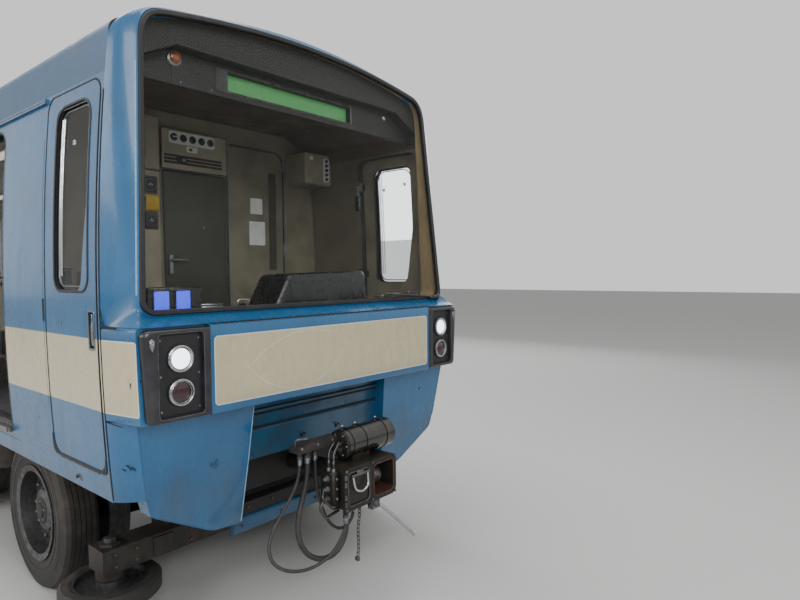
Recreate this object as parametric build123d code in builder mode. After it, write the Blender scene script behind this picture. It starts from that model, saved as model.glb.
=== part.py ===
# Metro car with a driving cab: a rubber-tyred motor car for a platform-height metro.
# Millimetres. X points forward to the cab, Y to the left, Z up from the surface the tyres roll on.

import os
from math import pi, radians, sqrt, tan

from build123d import *

os.makedirs("parts", exist_ok=True)

# Overall sizes of the car body
coupled_length = 16960.0
front_overhang = 240.0       # coupler face ahead of the plane of the lamps
rear_overhang = 230.0        # rear coupling face behind the end wall
belt_half = 1255.0           # greatest half width
belt_z = 1830.0              # height of the greatest width
side_radius = 10900.0        # radius of the curved sides
skirt_z = 930.0              # lower edge of the side skirt
eaves_z = 2925.0             # joint between the side wall and the roof
corner_z = 3165.0            # where side and roof curves would meet
crown_z = 3375.0
roof_corner_r = 70.0
floor_z = 1100.0
deck_t = 80.0
wall_t = 90.0
skirt_t = 22.0
seat_gap = 0.3               # play left between pieces that are bolted together
half_length = coupled_length / 2
cut_reach = belt_half + 145.0  # beyond the widest point, for outlines cut in from the side
band_x = half_length - front_overhang
seam_depth = 275.0           # depth of the front mask
seam_x = band_x - seam_depth
rear_x = -half_length + rear_overhang
deck_z = floor_z - deck_t
RIGHT = -1
LEFT = 1
base_up = (Align.CENTER, Align.CENTER, Align.MIN)

# Passenger doorways
door_first_x = 6050.0        # centre of the doorway nearest the cab
door_pitch = 4100.0
door_count = 4
doorway_w = 1280.0
doorway_z0 = 1090.0
doorway_z1 = 2850.0
doorway_r = 110.0
sill_out = 7.0               # door sill beyond the greatest half width
sill_t = 30.0
gutter_out = 14.0            # rain gutter beyond the side surface
gutter_z0 = 2893.0
gutter_z1 = 2917.0
leaf_t = 34.0
leaf_inset = 30.0            # leaf outer face behind the side surface
leaf_clear = 7.0             # running gap round a leaf
leaf_lap = 12.0              # how far a closed leaf reaches behind the jamb
leaf_meet = 3.0              # half the gap between two closed leaves
leaf_show = 40.0             # strip of an open leaf that stays in the doorway
leaf_z0 = 1099.0
leaf_z1 = 2876.0
hanger_h = 9.0
hanger_l = 90.0
hanger_w = 20.0
leaf_window_w = 360.0
leaf_window_z0 = 1900.0
leaf_window_z1 = 2740.0
door_glass_t = 8.0
door_centres = [door_first_x - i * door_pitch for i in range(door_count)]
leaf_w = doorway_w / 2 + leaf_lap - leaf_meet
leaf_travel = doorway_w / 2 - leaf_show

# Side windows between the doorways
window_w = 1290.0
window_z0 = 1880.0
window_z1 = 2720.0
window_r = 90.0
glass_t = 8.0
glass_inset = 16.0
glass_clear = 0.3
window_centres = [door_first_x - (i + 0.5) * door_pitch for i in range(door_count - 1)]

# Cab
bulkhead_x = band_x - 1500.0
bulkhead_t = 36.0

# Cab side doors
cab_door_x0 = seam_x - 635.0
cab_door_x1 = seam_x - 35.0
cab_door_z0 = 1065.0
cab_door_z1 = 2905.0
cab_door_r = 90.0
cab_door_t = 40.0
cab_hinge_gap = 8.0
cab_latch_gap = 17.0
cab_hinge_inset = 62.0       # hinge pin inside the side surface at the top of the door
cab_pin_r = 9.0
cab_knuckle_r = 17.0
cab_knuckle_h = 56.0
cab_hinge_heights = [1250.0, 1990.0, 2700.0]
cab_floor_z = 1050.0         # the cab floor is a step below the saloon floor
cab_window_z0 = 1920.0
cab_window_z1 = 2830.0
cab_window_slant = 68.0

# Windscreen and mask
screen_foot_x = band_x - 105.0
screen_foot_z = 1800.0
screen_lean = 0.0747         # backward lean, run over rise
ledge_z = 1758.0
mask_edge_r = 55.0
screen_side_foot = 105.0     # mask beside the glass at its foot
screen_side_top = 113.0      # mask beside the glass at its shoulders
screen_z0 = 1806.0
screen_side_z = 3150.0
screen_arch_z = 3262.0
screen_corner_low = 60.0
screen_corner_high = 120.0
gasket_w = 34.0
gasket_proud = 8.0
screen_t = 10.0

# Front band, lamp pods and apron
band_z0 = 1318.0
band_t = 60.0
pod_side = 110.0             # greatest half width less the pod's front panel
pod_wrap = 23.0              # greatest half width less the pod's side
pod_w = 281.0
pod_y1 = belt_half - pod_side
pod_y0 = pod_y1 - pod_w
pod_z0 = 1322.0
pod_z1 = 1746.0
pod_depth = 110.0
lamp_y = pod_y0 + 149.0
lamp_heights = [1607.0, 1451.0]
lamp_ring_r = 62.0
lamp_r = 50.0

# Running gear
bogie_x = 5500.0
wheelbase = 2100.0
tyre_r = 485.0
tyre_w = 220.0
tyre_y = 980.0
rim_r = tyre_r - 195.0
axle_r = 70.0
bearing_gap = 0.3
rail_wheel_r = tyre_r - 45.0
flange_r = tyre_r - 23.0
rail_wheel_y = 717.0         # inner rail edge that the flange follows
rail_wheel_w = 90.0
beam_y = 530.0
beam_w = 130.0
guide_r = 270.0
guide_w = 100.0
guide_x = 1850.0
guide_y = 970.0
guide_z = 230.0
guide_bore_r = 45.0
kingpin_r = 90.0
collector_y = 1130.0         # outer face of the arm that holds a collecting shoe

# Couplers
coupler_z = 810.0
coupler_head_l = 190.0
coupler_head_w = 430.0
coupler_head_h = 240.0
cup_r = 45.0
cup_l = 70.0
draw_hole_r = 13.0
draw_hole_dy = 180.0
draw_hole_dz = 180.0
draw_plate_t = 40.0


def wall_y(z, inset=0.0):
    """Half width of the curved side at height z, a given depth inside its surface."""
    radius = side_radius - inset
    return belt_half - side_radius + sqrt(radius**2 - (z - belt_z) ** 2)


def side_strip(side, x, inset0, inset1, z0, z1):
    """Cross-section between two depths of one curved side, on the plane at x."""
    mid = (z0 + z1) / 2
    corners = [
        (side * wall_y(z0, inset0), z0),
        (side * wall_y(z1, inset0), z1),
        (side * wall_y(z1, inset1), z1),
        (side * wall_y(z0, inset1), z0),
    ]
    with BuildSketch(Plane.YZ.offset(x)) as strip:
        with BuildLine():
            ThreePointArc(corners[0], (side * wall_y(mid, inset0), mid), corners[1])
            Line(corners[1], corners[2])
            ThreePointArc(corners[2], (side * wall_y(mid, inset1), mid), corners[3])
            Line(corners[3], corners[0])
        make_face()
    return strip.sketch


def shell_outline(x, inset=0.0, z_low=skirt_z, corner_r=roof_corner_r):
    """Outline of the whole body across the car, a given depth inside its surface."""
    top = corner_z - inset
    mid = (z_low + top) / 2
    low_y = wall_y(z_low, inset)
    mid_y = wall_y(mid, inset)
    top_y = wall_y(top, inset)
    with BuildSketch(Plane.YZ.offset(x)) as outline:
        with BuildLine():
            ThreePointArc((-low_y, z_low), (-mid_y, mid), (-top_y, top))
            ThreePointArc((-top_y, top), (0, crown_z - inset), (top_y, top))
            ThreePointArc((top_y, top), (mid_y, mid), (low_y, z_low))
            Line((low_y, z_low), (-low_y, z_low))
        make_face()
        fillet(outline.vertices().group_by(Axis.Y)[-1], corner_r)
    return outline.sketch


def upright(x0, x1, z0, z1, radius, y=0.0):
    """Rounded rectangle on a plane across Y, for openings and panels seen from the side."""
    with BuildSketch(Plane.XZ.offset(-y)) as panel:
        with Locations(((x0 + x1) / 2, (z0 + z1) / 2)):
            RectangleRounded(x1 - x0, z1 - z0, radius)
    return panel.sketch


def side_polygon(points, y=0.0, radius=0.0, shrink=0.0):
    """Polygon on a plane across Y, its corners rounded and its edge drawn in where asked."""
    with BuildSketch(Plane.XZ.offset(-y)) as outline:
        with BuildLine():
            Polyline(*points, close=True)
        make_face()
        if shrink > 0:
            offset(amount=-shrink, kind=Kind.INTERSECTION)
        if radius > shrink:
            fillet(outline.vertices(), radius - shrink)
    return outline.sketch


def front_polygon(points, x, radius=0.0, shrink=0.0):
    """Polygon on a plane across X, its corners rounded and its edge drawn in where asked."""
    with BuildSketch(Plane.YZ.offset(x)) as outline:
        with BuildLine():
            Polyline(*points, close=True)
        make_face()
        if shrink > 0:
            offset(amount=-shrink, kind=Kind.INTERSECTION)
        if radius > shrink:
            fillet(outline.vertices(), radius - shrink)
    return outline.sketch


def plan_polygon(points, z, radius=0.0):
    """Polygon on a level plane, its corners rounded where a radius is given."""
    with BuildSketch(Plane.XY.offset(z)) as outline:
        with BuildLine():
            Polyline(*points, close=True)
        make_face()
        if radius > 0:
            fillet(outline.vertices(), radius)
    return outline.sketch


def box_between(low, high, mode=Mode.ADD):
    """Plain block between two corners."""
    middle = [(a + b) / 2 for a, b in zip(low, high)]
    size = [b - a for a, b in zip(low, high)]
    with Locations(Location(middle)):
        Box(*size, mode=mode)


def box_beside(side, x, y, z):
    """Box on one side of the car between two X, two distances from the centre line and two heights."""
    near, far = side * y[0], side * y[1]
    box_between((min(x), min(near, far), min(z)), (max(x), max(near, far), max(z)))


def keep(name, builder):
    """Label a finished piece and write it."""
    builder.part.label = name
    export_step(builder.part, f"parts/{name}.step")


screen_half_foot = wall_y(screen_foot_z) - screen_side_foot
screen_half_top = wall_y(screen_side_z) - screen_side_top

# Deck: floor slab with its headstock, bolsters and centre sill
deck_half = wall_y(deck_z, wall_t) - seat_gap
sill_half = 160.0
sill_low = 860.0
headstock_x = seam_x - 300.0
headstock_l = 130.0
bolster_l = 520.0
bolster_low = 960.0
jack_x = 3250.0
jack_y = 1000.0
jack_t = 25.0
with BuildPart() as deck:
    box_between((rear_x, -deck_half, deck_z), (bulkhead_x, deck_half, floor_z))
    box_between((bulkhead_x, -deck_half, deck_z), (seam_x - 5, deck_half, cab_floor_z))
    box_between((headstock_x, -520, 700), (headstock_x + headstock_l, 520, deck_z))
    box_between((rear_x + 240, -520, 700), (rear_x + 240 + headstock_l, 520, deck_z))
    box_between((-3000, -sill_half, sill_low), (3000, sill_half, deck_z))
    for x in (jack_x, -jack_x):
        for y in (jack_y, -jack_y):
            with Locations((x, y, deck_z - jack_t)):
                Box(200, 140, jack_t, align=base_up)
    for x in (bogie_x, -bogie_x):
        with Locations((x, 0, bolster_low)):
            Cylinder(260, deck_z - bolster_low, align=base_up)
        with Locations((x, 0, 760)):
            Cylinder(kingpin_r, bolster_low - 760, align=base_up)
keep("deck", deck)

cab_pin_x = cab_door_x0 + 14.0
cab_pin_y = wall_y(cab_door_z1) - cab_hinge_inset

# Side walls: as thick as the real wall, with pockets that the sliding leaves run into
pocket_in = leaf_inset - leaf_clear
pocket_out = leaf_inset + leaf_t + leaf_clear
pocket_l = leaf_travel + leaf_lap + leaf_clear
pocket_z0 = leaf_z0 - leaf_clear
pocket_z1 = leaf_z1 + hanger_h
for side, name in ((RIGHT, "side_right"), (LEFT, "side_left")):
    with BuildPart() as wall:
        extrude(side_strip(side, rear_x, 0, wall_t, deck_z, eaves_z), amount=seam_x - rear_x)
        extrude(side_strip(side, rear_x, 0, skirt_t, skirt_z, deck_z), amount=seam_x - rear_x)
        for centre in door_centres:
            x0 = centre - doorway_w / 2
            x1 = centre + doorway_w / 2
            doorway = upright(x0, x1, doorway_z0, doorway_z1, doorway_r)
            extrude(doorway, amount=-side * cut_reach, mode=Mode.SUBTRACT)
            box_between(
                (x0, min(0, side * cut_reach), doorway_z0),
                (x1, max(0, side * cut_reach), doorway_z0 + doorway_r),
                Mode.SUBTRACT,
            )
            pocket = side_strip(side, x0 - pocket_l, pocket_in, pocket_out, pocket_z0, pocket_z1)
            extrude(pocket, amount=doorway_w + 2 * pocket_l, mode=Mode.SUBTRACT)
            sill_in = side * (wall_y(doorway_z0) - wall_t / 3)
            sill_edge = side * (belt_half + sill_out)
            box_between(
                (x0 + 2, min(sill_in, sill_edge), doorway_z0 - sill_t),
                (x1 - 2, max(sill_in, sill_edge), doorway_z0),
            )
        for centre in window_centres:
            x0 = centre - window_w / 2
            x1 = centre + window_w / 2
            opening = upright(x0, x1, window_z0, window_z1, window_r)
            extrude(opening, amount=-side * cut_reach, mode=Mode.SUBTRACT)
        gutter = side_strip(side, rear_x, -gutter_out, 2, gutter_z0, gutter_z1)
        extrude(gutter, amount=cab_door_x0 - 20 - rear_x)
        cab_opening = upright(
            cab_door_x0 - cab_hinge_gap,
            cab_door_x1 + cab_latch_gap,
            cab_door_z0 - cab_hinge_gap,
            cab_door_z1 + cab_hinge_gap,
            cab_door_r,
        )
        extrude(cab_opening, amount=-side * cut_reach, mode=Mode.SUBTRACT)
        for z in cab_hinge_heights:
            reach = max(12.0, wall_y(z, wall_t) + 10 - cab_pin_y)
            for low in (z - cab_knuckle_h / 2 - 14, z + cab_knuckle_h / 2 + 6):
                inner = side * (cab_pin_y - 12)
                outer = side * (cab_pin_y + reach)
                box_between(
                    (cab_door_x0 - cab_hinge_gap - 1, min(inner, outer), low),
                    (cab_pin_x + 12, max(inner, outer), low + 8),
                )
            with Locations((cab_pin_x, side * cab_pin_y, z)):
                Cylinder(cab_pin_r, cab_knuckle_h + 14)
    keep(name, wall)

# Side window glass, set in the outer part of the wall
panes = []
for side in (RIGHT, LEFT):
    for centre in window_centres:
        x0 = centre - window_w / 2 + glass_clear
        x1 = centre + window_w / 2 - glass_clear
        z0 = window_z0 + glass_clear
        z1 = window_z1 - glass_clear
        with BuildPart() as pane:
            strip = side_strip(side, x0 - 5, glass_inset, glass_inset + glass_t, z0 - 5, z1 + 5)
            extrude(strip, amount=x1 - x0 + 10)
            outline = upright(x0, x1, z0, z1, window_r)
            extrude(outline, amount=-side * cut_reach, mode=Mode.INTERSECT)
        panes.append(pane.part)
with BuildPart() as side_windows:
    add(panes)
keep("side_windows", side_windows)

# Roof: curved outside, with a coved ceiling inside
eaves_y = wall_y(eaves_z)
eaves_in = wall_y(eaves_z, wall_t)
cove_y = eaves_in - 16
ceiling_y = eaves_in - 261
cove_z = 3020.0
ceiling_z = 3150.0
ceiling = [(cove_y, cove_z), (ceiling_y, ceiling_z), (-ceiling_y, ceiling_z), (-cove_y, cove_z)]
with BuildPart() as roof:
    with BuildSketch(Plane.YZ.offset(rear_x)) as roof_section:
        with BuildLine():
            top_y = wall_y(corner_z)
            seat_z = eaves_z + seat_gap
            Line((eaves_y, seat_z), (top_y, corner_z))
            ThreePointArc((top_y, corner_z), (0, crown_z), (-top_y, corner_z))
            Line((-top_y, corner_z), (-eaves_y, seat_z))
            Polyline((-eaves_y, seat_z), (-eaves_in, seat_z), *reversed(ceiling), (eaves_in, seat_z))
            Line((eaves_in, seat_z), (eaves_y, seat_z))
        make_face()
        fillet(roof_section.vertices().sort_by(Axis.Y)[-2:], roof_corner_r)
    extrude(amount=seam_x - rear_x)
keep("roof", roof)

# Low ventilator housings along the roof
vent_l = 900.0
vent_w = 620.0
vent_h = 46.0
vent_corner_r = 60.0
vent_edge = 18.0
vent_centres = window_centres + [door_first_x + 400, rear_x + 900]
with BuildPart() as roof_ventilators:
    for x in vent_centres:
        with Locations((x, 0, crown_z + seat_gap)):
            Box(vent_l, vent_w, vent_h, align=base_up)
    fillet(roof_ventilators.edges().filter_by(Axis.Z), vent_corner_r)
    chamfer(roof_ventilators.faces().group_by(Axis.Z)[-1].edges(), vent_edge)
keep("roof_ventilators", roof_ventilators)


def room_section(x):
    """Space inside the walls and under the ceiling, on the plane at x, less the fitting gap."""
    side_points = [(belt_half + 45, 500), (belt_half + 45, 1500), (eaves_in, eaves_z), *ceiling[:2]]
    mirrored = [(-y, z) for y, z in reversed(side_points)]
    return front_polygon(side_points + mirrored, x, shrink=seat_gap)


def screen_outline(x, grow=0.0):
    """Windscreen shape seen from the front, grown or shrunk all round."""
    with BuildSketch(Plane.YZ.offset(x)) as outline:
        with BuildLine():
            low_y = screen_half_foot + grow
            top_y = screen_half_top + grow
            Line((-low_y, screen_z0 - grow), (low_y, screen_z0 - grow))
            Line((low_y, screen_z0 - grow), (top_y, screen_side_z + grow))
            ThreePointArc(
                (top_y, screen_side_z + grow), (0, screen_arch_z + grow), (-top_y, screen_side_z + grow)
            )
            Line((-top_y, screen_side_z + grow), (-low_y, screen_z0 - grow))
        make_face()
        corners = outline.vertices().sort_by(Axis.Y)
        fillet(corners[:2], screen_corner_low + grow)
        corners = outline.vertices().sort_by(Axis.Y)
        fillet(corners[-2:], screen_corner_high + grow)
    return outline.sketch


def leaning_slab(proud, depth):
    """Slab parallel to the windscreen, from just proud of the mask to a depth behind it."""
    foot = screen_foot_x + proud
    run = screen_lean * (crown_z - screen_foot_z)
    drop = screen_lean * (screen_foot_z - ledge_z)
    with BuildSketch(Plane.XZ.offset(-cut_reach)) as slab:
        with BuildLine():
            Polyline(
                (foot + drop, ledge_z),
                (foot - run, crown_z),
                (foot - run - depth, crown_z),
                (foot + drop - depth, ledge_z),
                close=True,
            )
        make_face()
    return slab.sketch


# Front mask: moulded frame round the windscreen, open behind
with BuildPart() as front_mask:
    extrude(shell_outline(seam_x + seat_gap, z_low=ledge_z), amount=seam_depth)
    lean_run = screen_lean * (crown_z - screen_foot_z)
    mask_side = side_polygon(
        [
            (seam_x, ledge_z),
            (band_x - 12, ledge_z),
            (screen_foot_x, screen_foot_z),
            (screen_foot_x - lean_run, crown_z),
            (screen_foot_x - lean_run, crown_z + 50),
            (seam_x, crown_z + 50),
        ],
        y=cut_reach,
    )
    extrude(mask_side, amount=2 * cut_reach, mode=Mode.INTERSECT)
    front_face = front_mask.faces().filter_by(lambda f: f.normal_at().X > 0.9).sort_by(Axis.Z)[-1]
    rim = front_face.edges().filter_by(lambda e: e.center().Z > screen_foot_z + 20)
    fillet(rim, mask_edge_r)
    extrude(screen_outline(seam_x), amount=400, mode=Mode.SUBTRACT)
keep("front_mask", front_mask)

# Windscreen: one pane held in a rubber gasket
with BuildPart() as pane_block:
    extrude(leaning_slab(-6, screen_t), amount=2 * cut_reach)
    extrude(screen_outline(seam_x, -gasket_w - seat_gap), amount=400, mode=Mode.INTERSECT)
with BuildPart() as gasket:
    extrude(leaning_slab(gasket_proud, 34), amount=2 * cut_reach)
    extrude(screen_outline(seam_x, -seat_gap), amount=400, mode=Mode.INTERSECT)
    extrude(screen_outline(seam_x, -gasket_w), amount=400, mode=Mode.SUBTRACT)
with BuildPart() as windscreen:
    add(pane_block.part)
    add(gasket.part)
keep("windscreen", windscreen)

# Front band: the stiff moulding that carries the stripe and the lamp pods
band_corner_r = 75.0
pod_gap = seat_gap
with BuildPart() as front_band:
    with BuildSketch(Plane.XY.offset(band_z0)) as band_plan:
        with BuildLine():
            half = wall_y(ledge_z)
            Polyline(
                (seam_x + seat_gap, -half), (band_x, -half), (band_x, half), (seam_x + seat_gap, half),
                close=True,
            )
        make_face()
        fillet(band_plan.vertices().sort_by(Axis.X)[-2:], band_corner_r)
    extrude(amount=ledge_z - seat_gap - band_z0)
    trim = shell_outline(seam_x, z_low=band_z0 - 10)
    extrude(trim, amount=400, mode=Mode.INTERSECT)
    chamfer(front_band.edges().filter_by(lambda e: e.center().X > band_x - 1).sort_by(Axis.Z)[-1:], 12)
    inner = wall_y(band_z0) - band_t
    box_between((seam_x - 10, -inner, band_z0 - 10), (band_x - band_t, inner, ledge_z - 45), Mode.SUBTRACT)
    for side in (RIGHT, LEFT):
        low = min(side * (pod_y0 - pod_gap), side * (belt_half + 45))
        high = max(side * (pod_y0 - pod_gap), side * (belt_half + 45))
        box_between(
            (band_x - pod_depth - pod_gap, low, pod_z0 - pod_gap),
            (band_x + 10, high, pod_z1 + pod_gap),
            Mode.SUBTRACT,
        )
keep("front_band", front_band)

# Lamp pods: dark housings let into the band at each corner
pod_recess = 16.0
pod_rim = 20.0
with BuildPart() as lamp_pods:
    for side in (RIGHT, LEFT):
        low = min(side * pod_y0, side * (belt_half - pod_wrap))
        high = max(side * pod_y0, side * (belt_half - pod_wrap))
        box_between((band_x - pod_depth, low, pod_z0), (band_x, high, pod_z1))
    fillet(lamp_pods.edges().filter_by(Axis.Z).filter_by(lambda e: abs(e.center().Y) > pod_y1), 50)
    fillet(lamp_pods.faces().sort_by(Axis.X)[-2:].edges().filter_by(Axis.Y), 8)
    for side in (RIGHT, LEFT):
        middle = side * (pod_y0 + pod_y1) / 2
        with BuildSketch(Plane.YZ.offset(band_x)) as panel:
            with Locations((middle, (pod_z0 + pod_z1) / 2)):
                RectangleRounded(pod_y1 - pod_y0 - 2 * pod_rim, pod_z1 - pod_z0 - 2 * pod_rim, 22)
        extrude(amount=-pod_recess, mode=Mode.SUBTRACT)
        with BuildSketch(Plane.YZ.offset(band_x - pod_recess)) as wells:
            for z in lamp_heights:
                with Locations((side * lamp_y, z)):
                    Circle(lamp_ring_r + seat_gap)
        extrude(amount=-30, mode=Mode.SUBTRACT)
keep("lamp_pods", lamp_pods)

# Lamps: ring and domed lens, one turned solid in each well
# Lamp profile: radius, depth behind the face of the pod
lamp_profile = [
    (0, 45), (lamp_ring_r, 45), (lamp_ring_r, 6), (lamp_r + 3, 0), (lamp_r, 10), (36, 6), (18, 3.5), (0, 2.5),
]
with BuildPart() as front_lamps:
    for side in (RIGHT, LEFT):
        for z in lamp_heights:
            with BuildSketch(Plane((band_x, side * lamp_y, z), x_dir=(0, 1, 0), z_dir=(0, 0, 1))) as turned:
                with BuildLine():
                    Polyline(*lamp_profile, close=True)
                make_face()
            revolve(axis=Axis((band_x, side * lamp_y, z), (1, 0, 0)))
keep("front_lamps", front_lamps)

# Apron below the band: two swept-back wings and a stepped centre
apron_top = band_z0 - seat_gap
wing_rake = 80.0
wing_front = 120.0
wing = [
    (belt_half - 83, apron_top), (belt_half - 135, 960), (belt_half - 167, 845),
    (750, 662), (570, 645), (525, apron_top),
]
centre_top = [(seam_x + 30, apron_top), (band_x - 190, apron_top), (band_x - 225, 1140), (seam_x + 30, 1140)]
centre_low = [(seam_x + 10, 1132), (band_x - 215, 1132), (band_x - 245, 955), (seam_x + 10, 955)]
wing_wall = 35.0
wing_inner = [
    (belt_half - 135, apron_top - 40), (belt_half - 210, 870),
    (745, 705), (625, 695), (590, apron_top - 40),
]
with BuildPart() as wing_core:
    for side in (RIGHT, LEFT):
        points = [(side * y, z) for y, z in wing_inner]
        extrude(front_polygon(points, seam_x - 1), amount=seam_depth)
    core_rake = side_polygon(
        [
            (seam_x - 2, apron_top), (band_x - wing_front - wing_wall, apron_top),
            (band_x - wing_front - wing_rake - wing_wall, 645), (seam_x - 2, 645),
        ],
        y=cut_reach,
    )
    extrude(core_rake, amount=2 * cut_reach, mode=Mode.INTERSECT)
with BuildPart() as front_apron:
    for side in (RIGHT, LEFT):
        points = [(side * y, z) for y, z in wing]
        extrude(front_polygon(points, seam_x + seat_gap), amount=seam_depth)
    rake = side_polygon(
        [
            (seam_x, apron_top), (band_x - wing_front, apron_top),
            (band_x - wing_front - wing_rake, 645), (seam_x, 645),
        ],
        y=cut_reach,
    )
    extrude(rake, amount=2 * cut_reach, mode=Mode.INTERSECT)
    add(wing_core.part, mode=Mode.SUBTRACT)
    extrude(side_polygon(centre_top, y=535), amount=1070)
    extrude(side_polygon(centre_low, y=545), amount=1090)
    box_between((seam_x + seat_gap, -590, 565), (band_x - 235, 590, 650))
    fillet(front_apron.edges().filter_by(Axis.Y).filter_by(lambda e: abs(e.center().Z - 607) < 60), 14)
keep("front_apron", front_apron)

# Rear end wall with its gangway door and window
end_door_w = 720.0
end_window_w = 420.0
with BuildPart() as rear_wall:
    extrude(shell_outline(rear_x, inset=wall_t + seat_gap, z_low=floor_z + seat_gap, corner_r=40), amount=70)
    extrude(room_section(rear_x), amount=200, both=True, mode=Mode.INTERSECT)
    with BuildSketch(Plane.YZ.offset(rear_x)) as recess:
        with Locations((0, (floor_z + 2980) / 2)):
            RectangleRounded(end_door_w, 2980 - floor_z - 60, 60)
    extrude(amount=14, mode=Mode.SUBTRACT)
    with BuildSketch(Plane.YZ.offset(rear_x - 1)) as end_window:
        with Locations((0, 2330)):
            RectangleRounded(end_window_w, 780, 60)
    extrude(amount=80, mode=Mode.SUBTRACT)
keep("rear_wall", rear_wall)

# Cab bulkhead behind the driver, with its door recess and equipment cabinet
with BuildPart() as cab_bulkhead:
    section = shell_outline(bulkhead_x, inset=wall_t + seat_gap, z_low=floor_z + seat_gap, corner_r=40)
    extrude(section, amount=-bulkhead_t)
    extrude(room_section(bulkhead_x), amount=200, both=True, mode=Mode.INTERSECT)
    box_between((bulkhead_x, -280, 2760), (bulkhead_x + 60, 250, 3020))
    box_between((bulkhead_x - bulkhead_t - 1, -260, 1180), (bulkhead_x - 12, 210, 2700), Mode.SUBTRACT)
    box_between((bulkhead_x, -560, 1900), (bulkhead_x + 24, -320, 2860))
keep("cab_bulkhead", cab_bulkhead)

# Driver's desk with its binnacle, cut back at the corners where the side doors swing
desk_rear_x = band_x - 600.0
desk_front_x = seam_x - 10.0
desk_top_z = 1750.0
desk_rear_half = 560.0
desk_front_half = 720.0
with BuildPart() as cab_desk:
    desk_side = side_polygon(
        [
            (desk_rear_x + 110, cab_floor_z + seat_gap), (desk_front_x, cab_floor_z + seat_gap),
            (desk_front_x, desk_top_z), (desk_rear_x + 30, desk_top_z - 30), (desk_rear_x, desk_top_z - 70),
            (desk_rear_x, desk_top_z - 130), (desk_rear_x + 110, desk_top_z - 190),
        ],
        y=desk_front_half,
    )
    extrude(desk_side, amount=2 * desk_front_half)
    desk_plan = plan_polygon(
        [
            (desk_rear_x, -desk_rear_half), (desk_front_x, -desk_front_half),
            (desk_front_x, desk_front_half), (desk_rear_x, desk_rear_half),
        ],
        cab_floor_z,
    )
    extrude(desk_plan, amount=1000, mode=Mode.INTERSECT)
    binnacle = front_polygon([(-300, 1680), (-135, 1985), (520, 2005), (560, 1680)], desk_rear_x + 60, 48)
    extrude(binnacle, amount=desk_front_x - desk_rear_x - 80)
keep("cab_desk", cab_desk)

# Driver's seat on its pedestal, low enough to stay under the sill of the windscreen
seat_x = band_x - 1010.0
stool_z = floor_z + 370.0    # underside of the cushion
stool_back_z = floor_z + 640.0
with BuildPart() as cab_seat:
    with Locations((seat_x, 0, cab_floor_z + seat_gap)):
        Cylinder(170, 30, align=base_up)
        Cylinder(55, stool_z + 20 - cab_floor_z, align=base_up)
    with BuildSketch(Plane.XY.offset(stool_z)) as cushion:
        with Locations((seat_x, 0)):
            RectangleRounded(440, 460, 70)
    extrude(amount=90)
    back = side_polygon(
        [
            (seat_x - 210, stool_z + 50), (seat_x - 140, stool_z + 50),
            (seat_x - 195, stool_back_z), (seat_x - 260, stool_back_z - 5),
        ],
        y=210,
    )
    extrude(back, amount=420)
keep("cab_seat", cab_seat)

# Panel above the windscreen with the blind's opening
header_x = band_x - 350.0
header_z0 = 2972.0
header_z1 = 3140.0
header_half = ceiling_y - 20
with BuildPart() as cab_header:
    box_between((header_x - 60, -header_half, header_z0), (header_x, header_half, header_z1))
    box_between((header_x - 40, -560, 3004), (header_x + 1, 460, 3106), Mode.SUBTRACT)
    box_between((header_x - 60, -120, header_z1), (header_x - 10, 120, ceiling_z - seat_gap))
keep("cab_header", cab_header)

# Wiper: spindle on the ledge, arm and blade parked along the foot of the windscreen
wiper_x = band_x - 88.0
wiper_y = 1085.0
ledge_slope = (screen_foot_z - ledge_z) / (band_x - 12 - screen_foot_x)
wiper_foot_z = ledge_z + (band_x - 12 - wiper_x + 10) * ledge_slope + seat_gap
with BuildPart() as wiper:
    with Locations((wiper_x, wiper_y, wiper_foot_z)):
        Cylinder(10, 1830 - wiper_foot_z, align=base_up)
    arm = [(wiper_y + 12, 1812), (wiper_y + 12, 1830), (430, 1886), (424, 1874)]
    extrude(front_polygon(arm, wiper_x - 2), amount=8)
keep("wiper", wiper)

# Seats in the saloon: cushion on a pedestal, and a separate back, two places wide
cushion_l = 430.0
cushion_t = 70.0
cushion_z = floor_z + 400.0
seat_back_h = 470.0
seat_back_t = 60.0
seat_w = 860.0
seat_wall_gap = 12.0
seat_y = wall_y(1500.0, wall_t) - seat_wall_gap - seat_w / 2
# Seat backs: X of the back's plane, and which way the seat faces
seat_rows = [(x + reach, facing) for x in window_centres for reach, facing in ((-690, 1), (690, -1))]
seat_rows.append((rear_x + 200, 1))
with BuildPart() as seats:
    for side in (RIGHT, LEFT):
        for x, facing in seat_rows:
            low_y = side * seat_y - seat_w / 2
            high_y = side * seat_y + seat_w / 2
            front_x = x + facing * (seat_back_t + seat_gap + cushion_l)
            pad_x = x + facing * (seat_back_t + seat_gap)
            leg_x = x + facing * 280
            box_between(
                (min(pad_x, front_x), low_y, cushion_z), (max(pad_x, front_x), high_y, cushion_z + cushion_t)
            )
            box_between((leg_x - 60, low_y + 180, floor_z + seat_gap), (leg_x + 60, high_y - 180, cushion_z))
            back = side_polygon(
                [
                    (x, cushion_z), (x + facing * seat_back_t, cushion_z),
                    (x + facing * (seat_back_t - 30), cushion_z + seat_back_h),
                    (x - facing * 20, cushion_z + seat_back_h),
                ],
                y=high_y,
            )
            extrude(back, amount=seat_w)
    fillet(seats.edges().filter_by(Axis.X).filter_by(lambda e: e.length > 300), 25)
keep("seats", seats)

# Grab poles from floor to ceiling, and rails beside the doorways
pole_r = 17.5
pole_top = ceiling_z - seat_gap
pole_rows = door_centres + window_centres
with BuildPart() as grab_poles:
    for x in pole_rows:
        with Locations((x, 0, floor_z + seat_gap)):
            Cylinder(pole_r, pole_top - floor_z - seat_gap, align=base_up)
    for side in (RIGHT, LEFT):
        for x, facing in seat_rows[:-2]:
            with Locations((x - facing * 40, side * (seat_y - seat_w / 2 - 30), floor_z + seat_gap)):
                Cylinder(pole_r, 2030 - 2 * seat_gap, align=base_up)
keep("grab_poles", grab_poles)

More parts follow.
